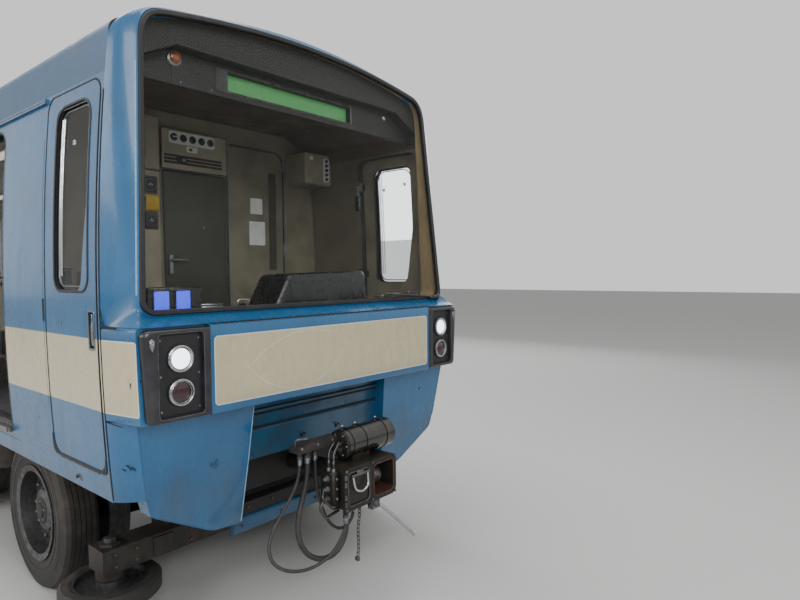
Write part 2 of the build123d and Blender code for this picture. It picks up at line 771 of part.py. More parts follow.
# Underframe equipment between the bogies, hung from the deck on straps
hang_z = deck_z - seat_gap
# Equipment boxes: front X, rear X, inner Y, outer Y, lower Z
equipment = [
    (2850, 1350, -1080, -330, 480),
    (1200, -150, -1080, -330, 430),
    (-300, -1500, -1080, -400, 520),
    (-1650, -2850, -1080, -330, 470),
    (2850, 1650, 330, 1080, 450),
    (1500, 700, 330, 1080, 560),
    (-1300, -2850, 330, 1080, 480),
]
with BuildPart() as equipment_boxes:
    for front, back, low_y, high_y, low in equipment:
        box_between((back, low_y, low), (front, high_y, 930))
    fillet(equipment_boxes.edges().filter_by(Axis.X), 25)
    for front, back, low_y, high_y, low in equipment:
        for x in (back + 120, front - 120):
            box_between((x - 30, low_y + 60, 900), (x + 30, high_y - 60, hang_z))
keep("equipment_boxes", equipment_boxes)

# Air reservoirs across the left side of the underframe
tank_r = 165.0
tank_l = 1500.0
with BuildPart() as air_reservoirs:
    for y in (430.0, 830.0):
        with Locations((-300, y, 690)):
            Cylinder(tank_r, tank_l, rotation=(0, 90, 0))
    fillet(air_reservoirs.edges().filter_by(GeomType.CIRCLE), 60)
    for x in (-750, 150):
        for y in (430.0, 830.0):
            box_between((x - 25, y - 60, 800), (x + 25, y + 60, hang_z))
keep("air_reservoirs", air_reservoirs)


def turned_about_y(x, z, points):
    """Solid of revolution about a level axis across the car; points are (Y, radius)."""
    with BuildSketch(Plane((x, 0, z), x_dir=(0, 1, 0), z_dir=(1, 0, 0))) as profile:
        with BuildLine():
            Polyline(*points, close=True)
        make_face()
    return profile.sketch


def turned_about_z(x, y, z, points):
    """Solid of revolution about an upright axis; points are (radius, height above z)."""
    with BuildSketch(Plane((x, y, z), x_dir=(1, 0, 0), z_dir=(0, -1, 0))) as profile:
        with BuildLine():
            Polyline(*points, close=True)
        make_face()
    return profile.sketch


# Bogies: frame, suspension, drive units, collectors and end beams that carry the guide wheels
frame_z0 = tyre_r - 85
frame_z1 = tyre_r + 115
frame_l = 1500.0
end_beam_l = 170.0
end_beam_z0 = guide_z + 105
end_beam_z1 = frame_z0 + 70
end_beam_half = 1050.0
bolster_half = 620.0
bolster_z0 = frame_z1 - 40
bolster_z1 = frame_z1 + 160
spring_r = 170.0
spring_y = 860.0
spring_z1 = deck_z - seat_gap
motor_r = 190.0
motor_l = 520.0
gear_r = 250.0
gear_w = 300.0
spindle_r = guide_bore_r - bearing_gap
# Air spring: radius and height of the bellows between the bolster and the deck
fold_h = (spring_z1 - bolster_z1) / 3
bellows = [(0, bolster_z1)]
for fold in range(3):
    fold_z = bolster_z1 + fold * fold_h
    bellows += [
        (spring_r - 24, fold_z), (spring_r - 24, fold_z + 0.12 * fold_h), (spring_r, fold_z + 0.35 * fold_h),
        (spring_r, fold_z + 0.65 * fold_h), (spring_r - 24, fold_z + 0.88 * fold_h),
    ]
bellows += [(spring_r - 24, spring_z1), (0, spring_z1)]
# Brake blocks on the guard wheels
shoe_gap = 8.0
shoe_w = 80.0
shoe_t = 40.0
shoe_h = 240.0
for direction, end in ((1, "front"), (-1, "rear")):
    centre = direction * bogie_x
    with BuildPart() as bogie:
        for side in (RIGHT, LEFT):
            beam = side_polygon(
                [
                    (centre - frame_l, frame_z0 + 70), (centre - frame_l, frame_z1 - 20),
                    (centre - 300, frame_z1 + 60), (centre + 300, frame_z1 + 60),
                    (centre + frame_l, frame_z1 - 20), (centre + frame_l, frame_z0 + 70),
                    (centre + 1250, frame_z0 - 30), (centre + 850, frame_z0 - 30),
                    (centre + 350, frame_z0 + 130), (centre - 350, frame_z0 + 130),
                    (centre - 850, frame_z0 - 30), (centre - 1250, frame_z0 - 30),
                ],
                y=side * beam_y + beam_w / 2,
            )
            extrude(beam, amount=beam_w)
        for x in (centre - frame_l, centre + frame_l):
            reach = end_beam_l if x > centre else -end_beam_l
            low = (min(x, x + reach), -620, frame_z0 + 70)
            box_between(low, (max(x, x + reach), 620, frame_z1 - 20))
        for x in (centre - guide_x, centre + guide_x):
            box_between((x - 90, -end_beam_half, end_beam_z0), (x + 90, end_beam_half, end_beam_z1))
            inboard = x + 200 if x < centre else x - 200
            box_between((min(x, inboard), -620, end_beam_z0), (max(x, inboard), 620, end_beam_z1 + 30))
        box_between((centre - 300, -spring_y, bolster_z0), (centre + 300, spring_y, bolster_z1))
        for side in (RIGHT, LEFT):
            with Locations((centre, side * spring_y, bolster_z0)):
                Cylinder(spring_r + 20, bolster_z1 - bolster_z0, align=base_up)
            bellows_axis = Axis((centre, side * spring_y, 0), (0, 0, 1))
            revolve(turned_about_z(centre, side * spring_y, 0, bellows), axis=bellows_axis)
        for way in (1, -1):
            axle_x = centre + way * wheelbase / 2
            with Locations((centre + way * (300 + motor_l / 2), 0, frame_z0 + 130)):
                Cylinder(motor_r, motor_l, rotation=(0, 90, 0))
            with Locations((axle_x, 0, tyre_r)):
                Cylinder(gear_r, gear_w, rotation=(90, 0, 0))
            with Locations((axle_x, 0, tyre_r)):
                Cylinder(
                    axle_r + bearing_gap, 2 * beam_y + beam_w + 10,
                    rotation=(90, 0, 0), mode=Mode.SUBTRACT,
                )
            for side in (RIGHT, LEFT):
                tread_in = rail_wheel_y + 5
                tread_out = tread_in + shoe_w
                near = axle_x - way * (rail_wheel_r - 30)
                far = axle_x - way * (flange_r + shoe_gap + shoe_t)
                hanger = axle_x - way * (flange_r + shoe_gap)
                shoe_heights = (tyre_r - shoe_h / 2, tyre_r + shoe_h / 2)
                box_beside(side, (near, far), (tread_in, tread_out), shoe_heights)
                box_beside(side, (hanger, far), (beam_y, tread_out), (tyre_r - 45, tyre_r + 45))
                with Locations((axle_x, side * (tread_in + shoe_w / 2), tyre_r)):
                    Cylinder(
                        rail_wheel_r + shoe_gap, shoe_w + 10,
                        rotation=(90, 0, 0), mode=Mode.SUBTRACT,
                    )
            for side in (RIGHT, LEFT):
                guide_top = guide_z + guide_w / 2
                with Locations((centre + way * guide_x, side * guide_y, guide_top + 6)):
                    Cylinder(80, end_beam_z0 - guide_top - 6, align=base_up)
                with Locations((centre + way * guide_x, side * guide_y, guide_z - guide_w / 2 - 10)):
                    Cylinder(spindle_r, guide_w + 30, align=base_up)
                with Locations((centre + way * guide_x, side * guide_y, guide_z - guide_w / 2 - 22)):
                    Cylinder(70, 16, align=base_up)
        for side in (RIGHT, LEFT):
            arm_y = spring_y + spring_r
            box_beside(side, (centre - 60, centre + 60), (arm_y, collector_y), (600, 650))
            box_beside(side, (centre - 40, centre + 40), (collector_y - 40, collector_y), (330, 610))
            box_beside(side, (centre - 170, centre + 170), (collector_y - 30, collector_y + 70), (290, 335))
        with Locations((centre, 0, bolster_z0 - 10)):
            Cylinder(kingpin_r + bearing_gap, 300, align=base_up, mode=Mode.SUBTRACT)
    keep(f"bogie_{end}", bogie)

# Wheelsets: a plain axle, and on each end a guard wheel and a rim turned in one piece, and a tyre
hub_out = 1042.0
wheel_section = [
    (640, axle_r + seat_gap), (640, 130), (700, 130), (700, rail_wheel_r - 45),
    (687, rail_wheel_r - 35), (687, flange_r),
    (710, flange_r), (rail_wheel_y, rail_wheel_r), (rail_wheel_y + rail_wheel_w, rail_wheel_r),
    (rail_wheel_y + rail_wheel_w, rail_wheel_r - 35), (765, rail_wheel_r - 45),
    (765, 135), (955, 135), (955, rim_r - 28),
    (878, rim_r - 28), (870, rim_r + 12), (878, rim_r + 12), (882, rim_r), (1078, rim_r),
    (1082, rim_r + 12), (1090, rim_r + 12), (1082, rim_r - 28), (988, rim_r - 28), (988, 150),
    (1030, 130), (hub_out, 90), (hub_out, axle_r + seat_gap),
]
tyre_half = tyre_w / 2
tyre_section = [
    (-95, rim_r + seat_gap), (-tyre_half, rim_r + 55), (-tyre_half, tyre_r - 60), (-95, tyre_r - 15),
    (-72, tyre_r), (72, tyre_r), (95, tyre_r - 15), (tyre_half, tyre_r - 60), (tyre_half, rim_r + 55),
    (95, rim_r + seat_gap),
]
axle_names = {"front": (bogie_x, "bogie_front"), "rear": (-bogie_x, "bogie_rear")}
for end, (centre, carrier) in axle_names.items():
    for way, place in ((1, "leading"), (-1, "trailing")):
        axle_x = centre + way * wheelbase / 2
        spin = Axis((axle_x, 0, tyre_r), (0, 1, 0))
        with BuildPart() as wheelset:
            with Locations((axle_x, 0, tyre_r)):
                Cylinder(axle_r, 2 * hub_out, rotation=(90, 0, 0))
            for side in (RIGHT, LEFT):
                wheel = [(side * y, r) for y, r in wheel_section]
                revolve(turned_about_y(axle_x, tyre_r, wheel), axis=spin)
                ring = [(side * tyre_y + y, r) for y, r in tyre_section]
                revolve(turned_about_y(axle_x, tyre_r, ring), axis=spin)
        keep(f"wheelset_{end}_{place}", wheelset)

# Guide wheels: level tyred wheels that run along the guide bars
guide_hub = [
    (guide_bore_r, -50), (78, -50), (78, -16), (188, -16), (188, -44), (200, -44), (200, 44), (188, 44),
    (188, 16), (78, 16), (78, 50), (guide_bore_r, 50),
]
guide_tyre = [
    (200 + seat_gap, -44), (216, -50), (252, -48), (guide_r, -30), (guide_r, 30), (252, 48), (216, 50),
    (200 + seat_gap, 44),
]
for end, centre in (("front", bogie_x), ("rear", -bogie_x)):
    for way, place in ((1, "leading"), (-1, "trailing")):
        for side, hand in ((RIGHT, "right"), (LEFT, "left")):
            x = centre + way * guide_x
            y = side * guide_y
            upright_axis = Axis((x, y, guide_z), (0, 0, 1))
            with BuildPart() as guide_wheel:
                revolve(turned_about_z(x, y, guide_z, guide_hub), axis=upright_axis)
                revolve(turned_about_z(x, y, guide_z, guide_tyre), axis=upright_axis)
            keep(f"guide_wheel_{end}_{place}_{hand}", guide_wheel)


def door_glass(side, x0, x1, z0, z1, inset, radius):
    """Curved pane let into a door, a little smaller than its opening."""
    with BuildPart() as pane:
        strip = side_strip(side, x0 - 5, inset, inset + door_glass_t, z0 - 5, z1 + 5)
        extrude(strip, amount=x1 - x0 + 10)
        outline = upright(x0 + glass_clear, x1 - glass_clear, z0 + glass_clear, z1 - glass_clear, radius)
        extrude(outline, amount=-side * cut_reach, mode=Mode.INTERSECT)
    return pane.part


# Sliding leaves: the right side stands open, the left side shut
for side, hand, opened in ((RIGHT, "right", 1), (LEFT, "left", 0)):
    for number, centre in enumerate(door_centres, start=1):
        for way, place in ((1, "front"), (-1, "rear")):
            near = centre + way * (leaf_meet + opened * leaf_travel)
            x0 = min(near, near + way * leaf_w)
            x1 = x0 + leaf_w
            middle = (x0 + x1) / 2
            pane = door_glass(
                side, middle - leaf_window_w / 2, middle + leaf_window_w / 2,
                leaf_window_z0, leaf_window_z1, leaf_inset + 12, 70,
            )
            with BuildPart() as leaf:
                strip = side_strip(side, x0, leaf_inset, leaf_inset + leaf_t, leaf_z0, leaf_z1)
                extrude(strip, amount=leaf_w)
                opening = upright(
                    middle - leaf_window_w / 2, middle + leaf_window_w / 2, leaf_window_z0, leaf_window_z1, 70
                )
                extrude(opening, amount=-side * cut_reach, mode=Mode.SUBTRACT)
                hang_y = side * (wall_y(leaf_z1) - leaf_inset - leaf_t / 2)
                for x in (x0 + 90, x1 - 90):
                    with Locations((x, hang_y, leaf_z1)):
                        Box(
                            hanger_l, hanger_w, hanger_h - seat_gap,
                            align=base_up,
                        )
                add(pane)
            keep(f"door_{hand}_{number}_{place}", leaf)

# Cab side doors, hinged at the rear edge and opening inwards
handle_x = cab_door_x1 - 82.0
for side, hand in ((RIGHT, "right"), (LEFT, "left")):
    window_points = [
        (cab_door_x0 + 110, cab_window_z0), (cab_door_x1 - 100 - cab_window_slant, cab_window_z0),
        (cab_door_x1 - 100, cab_window_z0 + 420), (cab_door_x1 - 100, cab_window_z1),
        (cab_door_x0 + 110, cab_window_z1),
    ]
    with BuildPart() as cab_pane:
        strip = side_strip(side, cab_door_x0, 14, 14 + door_glass_t, cab_window_z0 - 20, cab_window_z1 + 20)
        extrude(strip, amount=cab_door_x1 - cab_door_x0)
        outline = side_polygon(window_points, radius=60, shrink=glass_clear)
        extrude(outline, amount=cut_reach, both=True, mode=Mode.INTERSECT)
    with BuildPart() as cab_door:
        strip = side_strip(side, cab_door_x0 - 5, 1, 1 + cab_door_t, cab_door_z0 - 5, cab_door_z1 + 5)
        extrude(strip, amount=cab_door_x1 - cab_door_x0 + 10)
        outline = upright(cab_door_x0, cab_door_x1, cab_door_z0, cab_door_z1, cab_door_r - 8)
        extrude(outline, amount=-side * cut_reach, mode=Mode.INTERSECT)
        extrude(side_polygon(window_points, radius=60), amount=-side * cut_reach, mode=Mode.SUBTRACT)
        grip = side_strip(side, handle_x, 0, 24, 1650, 1820)
        extrude(grip, amount=50, mode=Mode.SUBTRACT)
        bar = side_strip(side, handle_x + 14, 4, 14, 1665, 1805)
        extrude(bar, amount=20)
        for z in (1675, 1780):
            post = side_strip(side, handle_x + 16, 12, 26, z, z + 16)
            extrude(post, amount=16)
        for z in cab_hinge_heights:
            arm_in = side * (cab_pin_y + 8)
            arm_out = side * (wall_y(z, cab_door_t) + 6)
            box_between(
                (cab_pin_x - 9, min(arm_in, arm_out), z - cab_knuckle_h / 2),
                (cab_pin_x + 9, max(arm_in, arm_out), z + cab_knuckle_h / 2),
            )
            with Locations((cab_pin_x, side * cab_pin_y, z)):
                Cylinder(cab_knuckle_r, cab_knuckle_h)
                Cylinder(cab_pin_r + bearing_gap, cab_knuckle_h + 2, mode=Mode.SUBTRACT)
        add(cab_pane.part)
    keep(f"cab_door_{hand}", cab_door)

# Front coupler: shank, head with a lidded half and a funnelled half, air cylinder and hose stubs
head_x1 = half_length
head_x0 = head_x1 - coupler_head_l
head_z1 = coupler_z + coupler_head_h / 2
half_mid = 100.0             # centre of each half of the head beside the centre line
half_w = 170.0
half_h = coupler_head_h - 44
funnel_depth = 90.0
air_r = 85.0
air_x = band_x + 100.0
air_y0 = -110.0
air_y1 = 275.0
air_z = 1022.0
stub_z = 1030.0
stub_l = 30.0
# Hose diameter, stub on the manifold and stub under the head
hose_ends = [
    (30.0, (band_x + 50, -310), (head_x0 + 110, -120)),
    (18.0, (band_x + 50, -255), (head_x0 + 70, -26)),
    (18.0, (band_x + 50, -365), (head_x0 + 156, -175)),
]
with BuildPart() as coupler_front:
    with BuildSketch(Plane.YZ.offset(headstock_x + headstock_l + seat_gap)) as shank:
        with Locations((0, coupler_z)):
            Circle(58)
    extrude(amount=head_x0 - headstock_x - headstock_l)
    with BuildSketch(Plane.YZ.offset(head_x0)) as head_plan:
        with Locations((0, coupler_z)):
            RectangleRounded(coupler_head_w, coupler_head_h, 40)
    extrude(amount=coupler_head_l)
    with BuildSketch(Plane.YZ.offset(head_x1)) as lid_recess:
        with Locations((-half_mid, coupler_z)):
            RectangleRounded(half_w, half_h, 18)
            RectangleRounded(half_w - 20, half_h - 20, 14, mode=Mode.SUBTRACT)
    extrude(amount=-14, mode=Mode.SUBTRACT)
    with BuildSketch(Plane.YZ.offset(head_x1)) as lid_face:
        with Locations((-half_mid, coupler_z)):
            RectangleRounded(half_w - 10, half_h - 10, 16)
    extrude(amount=-4, mode=Mode.SUBTRACT)
    with BuildSketch(Plane.YZ.offset(head_x1)) as mouth:
        with Locations((half_mid, coupler_z)):
            RectangleRounded(half_w, half_h, 18)
    extrude(amount=-funnel_depth, taper=12, mode=Mode.SUBTRACT)
    with BuildSketch(Plane.YZ.offset(head_x1)) as cup:
        with Locations((half_mid, coupler_z)):
            Circle(cup_r)
    extrude(amount=-funnel_depth - cup_l, mode=Mode.SUBTRACT)
    with Locations((air_x, (air_y0 + air_y1) / 2, air_z)):
        Cylinder(air_r, air_y1 - air_y0, rotation=(90, 0, 0))
    box_between((air_x - 45, -70, head_z1 - 10), (air_x + 60, 70, air_z))
    box_between((band_x + 10, -405, stub_z), (band_x + 90, air_y0 + 10, stub_z + 40))
    for diameter, top_end, low_end in hose_ends:
        with Locations((top_end[0], top_end[1], stub_z - stub_l)):
            Cylinder(diameter / 2 + 5, stub_l, align=base_up)
        with Locations((low_end[0], low_end[1], coupler_z - coupler_head_h / 2 - stub_l)):
            Cylinder(diameter / 2 + 5, stub_l + 20, align=base_up)
    box_between((head_x1 - 60, 30, coupler_z - 180), (head_x1 - 20, 90, coupler_z - 100))
    with BuildLine() as lever_path:
        FilletPolyline(
            (head_x1 - 40, 60, 655), (head_x1 - 40, 105, 640),
            (head_x1 - 40, 225, 538), (head_x1 - 40, 424, 355),
            radius=25,
        )
    with BuildSketch(Plane(lever_path.line @ 0, z_dir=lever_path.line % 0)) as lever_section:
        Circle(9)
    sweep(path=lever_path.line)
keep("coupler_front", coupler_front)

# Rear coupling bar with its bolted face
with BuildPart() as coupler_rear:
    with Locations(((rear_x + 240 - half_length) / 2, 0, coupler_z)):
        Cylinder(60, half_length + rear_x + 240 - seat_gap, rotation=(0, 90, 0))
    with BuildSketch(Plane.YZ.offset(-half_length)) as flange_face:
        with Locations((0, coupler_z)):
            RectangleRounded(draw_hole_dy + 90, draw_hole_dz + 90, 30)
    extrude(amount=draw_plate_t)
    with BuildSketch(Plane.YZ.offset(-half_length)) as flange_holes:
        with Locations((0, coupler_z)):
            with GridLocations(draw_hole_dy, draw_hole_dz, 2, 2):
                Circle(draw_hole_r)
    extrude(amount=draw_plate_t, mode=Mode.SUBTRACT)
keep("coupler_rear", coupler_rear)

# Hoses hanging from the manifold to the underside of the coupler head: points ahead of the lamps' plane
hose_routes = {
    "hose_main": [
        (50, -310, 1000), (50, -310, 890), (42, -338, 775), (40, -374, 665), (54, -388, 560), (88, -362, 475),
        (128, -296, 430), (152, -212, 438), (160, -148, 496), (160, -120, 578), (160, -120, 660),
    ],
    "hose_inner": [
        (50, -255, 1000), (50, -255, 900), (58, -250, 800), (72, -236, 705), (88, -208, 620),
        (101, -162, 560), (110, -104, 537), (117, -54, 560), (120, -26, 610), (120, -26, 660),
    ],
    "hose_outer": [
        (50, -365, 1000), (50, -365, 910), (38, -402, 815), (20, -455, 730), (12, -515, 652), (26, -566, 578),
        (64, -580, 508), (114, -535, 458), (154, -450, 436), (180, -355, 442), (196, -265, 480),
        (204, -205, 545), (206, -175, 605), (206, -175, 660),
    ],
}
for (name, route), (diameter, top_end, low_end) in zip(hose_routes.items(), hose_ends):
    points = [Vector(band_x + ahead, y, z) for ahead, y, z in route]
    radii = []
    for before, point, after in zip(points, points[1:], points[2:]):
        run_in = point - before
        run_out = after - point
        shorter = min(run_in.length, run_out.length)
        turn = run_in.get_angle(run_out)
        radii.append(0.45 * shorter / tan(radians(turn / 2)))
    with BuildPart() as hose:
        with BuildLine() as hose_path:
            FilletPolyline(*points, radius=radii)
        with BuildSketch(Plane(points[0], z_dir=points[1] - points[0])) as hose_section:
            Circle(diameter / 2)
        sweep(path=hose_path.line)
    print(name, "radii in diameters", [round(radius / diameter, 1) for radius in radii])
    print(name, "length", round(hose_path.wire().length))
    ideal = hose_path.wire().length * pi * diameter**2 / 4
    print(name, "volume over section times length", round(hose.part.volume / ideal, 4))
    keep(name, hose)
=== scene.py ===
import math
import bpy
import bmesh
from mathutils.bvhtree import BVHTree
from mathutils import Vector, Matrix


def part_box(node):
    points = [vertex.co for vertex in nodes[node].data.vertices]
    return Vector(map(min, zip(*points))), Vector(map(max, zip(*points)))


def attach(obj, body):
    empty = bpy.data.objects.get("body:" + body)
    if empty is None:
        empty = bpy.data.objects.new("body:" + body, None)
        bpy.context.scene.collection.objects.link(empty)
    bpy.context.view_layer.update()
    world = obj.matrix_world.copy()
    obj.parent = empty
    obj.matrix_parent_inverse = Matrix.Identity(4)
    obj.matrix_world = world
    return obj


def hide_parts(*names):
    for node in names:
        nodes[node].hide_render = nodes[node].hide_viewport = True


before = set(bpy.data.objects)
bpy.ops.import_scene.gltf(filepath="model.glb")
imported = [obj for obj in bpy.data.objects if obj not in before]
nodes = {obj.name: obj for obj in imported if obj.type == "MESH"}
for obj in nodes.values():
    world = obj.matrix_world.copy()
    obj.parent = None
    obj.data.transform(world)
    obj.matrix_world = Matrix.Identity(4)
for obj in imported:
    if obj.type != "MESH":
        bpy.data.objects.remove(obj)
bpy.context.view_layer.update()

RIGHT, LEFT = -1, 1
HANDS = ((RIGHT, "right"), (LEFT, "left"))
AHEAD, UP, ACROSS = Vector((1, 0, 0)), Vector((0, 0, 1)), Vector((0, 1, 0))
BAND_X = 8.24            # plane of the lamps and the front band
SEAM_X = 7.965           # joint between the front mask and the body
CAB_X = 6.72             # where the saloon's inner colours end
SIDE_RADIUS, BELT_Z, BELT_HALF = 10.9, 1.83, 1.255
STRIPE_Z, STRIPE_HALF = 1.5275, 0.1695
LAMP_Y, LAMP_Z, TAIL_Z = 1.013, 1.607, 1.451
AXLE_Z = 0.485
CYLINDER_X, CYLINDER_Z = 8.34, 1.022     # axis of the cylinder on the coupler
SOFT = 0.0008            # how softly a painted edge ends
DOORS = [6.05, 1.95, -2.15, -6.25]
WINDOWS = [4.0, -0.1, -4.2]


def wall_y(z, inset=0.0):
    """Half width of the curved side at height z, a given depth inside its surface."""
    return BELT_HALF - SIDE_RADIUS + math.sqrt((SIDE_RADIUS - inset) ** 2 - (z - BELT_Z) ** 2)


def link(name, data):
    o = bpy.data.objects.new(name, data)
    bpy.context.scene.collection.objects.link(o)
    return o


# ---------------- materials


def srgb(code):
    """Linear colour of a 0xRRGGBB code."""
    parts = [(code >> shift & 255) / 255 for shift in (16, 8, 0)]
    return (*[c / 12.92 if c <= 0.04045 else ((c + 0.055) / 1.055) ** 2.4 for c in parts], 1.0)


class Nodes:
    """A node tree, cleared; colours are given as 0xRRGGBB codes."""

    def __init__(self, owner):
        owner.use_nodes = True
        self.tree = owner.node_tree
        self.tree.nodes.clear()

    def feed(self, socket, v):
        if isinstance(v, bpy.types.NodeSocket):
            self.tree.links.new(v, socket)
        else:
            socket.default_value = srgb(v) if isinstance(v, int) and socket.type == "RGBA" else v

    def node(self, kind, inputs, **settings):
        n = self.tree.nodes.new(kind)
        for name, v in settings.items():
            setattr(n, name, v)
        for key, v in inputs.items() if isinstance(inputs, dict) else enumerate(inputs):
            self.feed(n.inputs[key], v)
        return n

    def math(self, op, *values):
        return self.node("ShaderNodeMath", values, operation=op).outputs[0]


class Look(Nodes):
    """One node material, with short names for the nodes it needs."""

    def __init__(self, name, rough=0.5, metal=0.0, coat=0.0, coat_rough=0.1):
        self.m = bpy.data.materials.new(name)
        super().__init__(self.m)
        self.shader = self.node("ShaderNodeBsdfPrincipled", {"Roughness": rough, "Metallic": metal, "Coat Weight": coat,
                                                             "Coat Roughness": coat_rough})
        self.node("ShaderNodeOutputMaterial", [self.shader.outputs[0]])
        self.place = self.node("ShaderNodeTexCoord", ()).outputs["Object"]
        self.x, self.y, self.z = self.node("ShaderNodeSeparateXYZ", [self.place]).outputs

    def scaled(self, scale):
        scale = scale if hasattr(scale, "__len__") else (scale,) * 3
        return self.node("ShaderNodeMapping", {"Scale": scale, "Vector": self.place}).outputs[0]

    def noise(self, scale, detail=4.0, rough=0.55):
        return self.node("ShaderNodeTexNoise", {"Vector": self.scaled(scale), "Scale": 1.0, "Detail": detail,
                                                "Roughness": rough}).outputs["Fac"]

    def cells(self, scale):
        return self.node("ShaderNodeTexVoronoi", {"Vector": self.scaled(scale), "Scale": 1.0}).outputs["Distance"]

    def ramp(self, v, low, high, to_low=0.0, to_high=1.0):
        return self.node("ShaderNodeMapRange", (v, low, high, to_low, to_high)).outputs[0]

    def mix(self, fac, a, b):
        return self.node("ShaderNodeMix", {0: fac, 6: a, 7: b}, data_type="RGBA").outputs[2]

    def between(self, v, low, high):
        """1 between two values of v, 0 outside, with a soft edge."""
        return self.math("MULTIPLY", self.ramp(v, low - SOFT, low + SOFT), self.below(v, high))

    def below(self, v, high):
        return self.ramp(v, high - SOFT, high + SOFT, 1.0, 0.0)

    def far(self, a, b):
        """Length of the vector (a, b)."""
        return self.math("SQRT", self.math("ADD", self.math("MULTIPLY", a, a), self.math("MULTIPLY", b, b)))

    def bump(self, height, strength, distance, under=None):
        inputs = {"Strength": strength, "Distance": distance, "Height": height}
        return self.node("ShaderNodeBump", inputs if under is None else {**inputs, "Normal": under}).outputs[0]

    def finish(self, colour, rough=None, normal=None):
        for socket, v in (("Base Color", colour), ("Roughness", rough), ("Normal", normal)):
            if v is not None:
                self.feed(self.shader.inputs[socket], v)
        return self.m


def worn(name, a, b, grime, rough=0.45, metal=0.0, coat=0.0, grain=18.0, dirt=0.5, relief=0.05, speck=420.0):
    """Painted or cast surface: two shades, grime in patches, fine speckle and relief."""
    k = Look(name, rough, metal, coat)
    broad, fine = k.noise(grain * 0.12, 3), k.noise(grain, 6, 0.6)
    patch = k.ramp(k.math("MULTIPLY", broad, fine), 0.24, 0.42, 0.0, dirt)
    colour = k.mix(patch, k.mix(k.ramp(fine, 0.3, 0.7), a, b), grime)
    roughness = k.ramp(fine, 0.25, 0.75, max(rough - 0.12, 0.04), min(rough + 0.16, 1.0))
    return k.finish(colour, roughness, k.bump(k.noise(speck, 3), relief, 0.0006))


def blue_paint(k):
    """Blue enamel with faint cloudy fading and vertical washing streaks."""
    streak = k.noise((26, 26, 1.3), 4, 0.6)
    blue = k.mix(k.ramp(k.noise((0.8, 0.8, 1.6), 4), 0.35, 0.68), BLUE_DEEP, BLUE)
    blue = k.mix(k.ramp(streak, 0.52, 0.8, 0.0, 0.22), blue, BLUE_PALE)
    return k.mix(k.ramp(k.noise((9, 9, 30), 5), 0.6, 0.8, 0.0, 0.3), blue, 0x3C5468)


def cream_paint(k):
    """Cream enamel with fine streaks and duller spots."""
    cream = k.mix(k.ramp(k.noise((24, 24, 12), 6, 0.6), 0.38, 0.8, 0.0, 0.5), CREAM, CREAM_DIRTY)
    return k.mix(k.ramp(k.noise((9, 9, 7), 5, 0.6), 0.6, 0.85, 0.0, 0.5), cream, 0x968C7A)


def scratched(k, cream):
    """Cream of the front band, with its arc-shaped scratches and a dirtier foot."""
    scratch = None
    for cy, cz, radius, y0, y1 in SCRATCHES:
        out = k.far(k.math("SUBTRACT", k.y, cy), k.math("SUBTRACT", k.z, cz))
        line = k.math("MULTIPLY", k.between(out, radius - 0.0016, radius + 0.0016), k.between(k.y, y0, y1))
        line = k.math("MULTIPLY", line, k.between(k.z, 1.365, 1.69))
        scratch = line if scratch is None else k.math("MAXIMUM", scratch, line)
    cream = k.mix(k.math("MULTIPLY", scratch, 0.7), cream, 0xE8E6DE)
    return k.mix(k.ramp(k.z, 1.36, 1.42, 0.35, 0.0), cream, 0xA29680)


def enamel(name, mark=""):
    """Blue enamel, marked with the cream stripe, the front band's panel, the panel at its corner, or nothing; a panel
    gets a painted highlight along its rounded edge.
    """
    k = Look(name, 0.24, 0.0, 0.35, 0.08)
    colour = blue_paint(k)
    if mark == "stripe":
        colour = k.mix(k.between(k.z, 1.358, 1.697), colour, cream_paint(k))
    elif mark:
        front = mark == "front"
        reach, end, r = (k.math("ABSOLUTE", k.y), 0.842, 0.022) if front else (k.x, 8.203, 0.016)
        beside = k.math("MAXIMUM", k.math("SUBTRACT", reach, end - r), 0.0)
        above = k.math("ABSOLUTE", k.math("SUBTRACT", k.z, STRIPE_Z))
        out = k.far(beside, k.math("MAXIMUM", k.math("SUBTRACT", above, STRIPE_HALF - r), 0.0))
        cream = scratched(k, cream_paint(k)) if front else cream_paint(k)
        colour = k.mix(k.below(out, r), colour, cream)
        # painted highlight: a pale line just inside the cream panel's rounded edge
        colour = k.mix(k.math("MULTIPLY", k.between(out, r - 0.0055, r), 0.8), colour, 0xE0E0DC)
    grime = k.ramp(k.math("MULTIPLY", k.noise((5, 5, 2), 5), k.ramp(k.z, 0.9, 1.3, 1.0, 0.25)), 0.34, 0.62, 0.0, 0.5)
    colour = k.mix(grime, colour, 0x424A52)
    chips = k.ramp(k.noise((22, 22, 16), 2, 0.4), 0.76, 0.772)
    roughness = k.ramp(k.noise((12, 12, 3), 4), 0.3, 0.75, 0.18, 0.4)
    wave = k.bump(k.noise((1.6, 1.6, 2.6), 1), 0.35, 0.0035)
    return k.finish(k.mix(chips, colour, 0x262A30), roughness, k.bump(k.noise(260, 2), 0.05, 0.0004, wave))


def glass(name, tint, dust):
    """Clear pane with faint streaks of dust."""
    k = Look(name, 0.02, coat=0.7, coat_rough=0.02)
    for socket, v in (("Transmission Weight", 1.0), ("IOR", 1.003), ("Alpha", 0.34), ("Coat IOR", 1.4)):
        k.feed(k.shader.inputs[socket], v)
    return k.finish(tint, k.ramp(k.noise((3, 3, 14), 5, 0.6), 0.55, 0.85, 0.0, dust))


def glow(name, colour, strength, rough=0.2):
    """Lit lens or display, with pale cells in it."""
    k = Look(name, rough)
    k.feed(k.shader.inputs["Emission Color"], colour)
    k.feed(k.shader.inputs["Emission Strength"], strength)
    return k.finish(k.mix(k.ramp(k.cells(160), 0.2, 0.6, 0.0, 0.12), colour, 0xEBEBEB))


def lined(k, inner, outer, dirt, grime):
    """Finish an inner face that has one colour in the saloon, another in the cab, and dirt over both."""
    colour = k.mix(k.ramp(k.x, CAB_X, CAB_X + 0.001), inner, outer)
    return k.finish(k.mix(dirt, colour, grime), None, k.bump(k.noise(300, 2), 0.08, 0.0004))


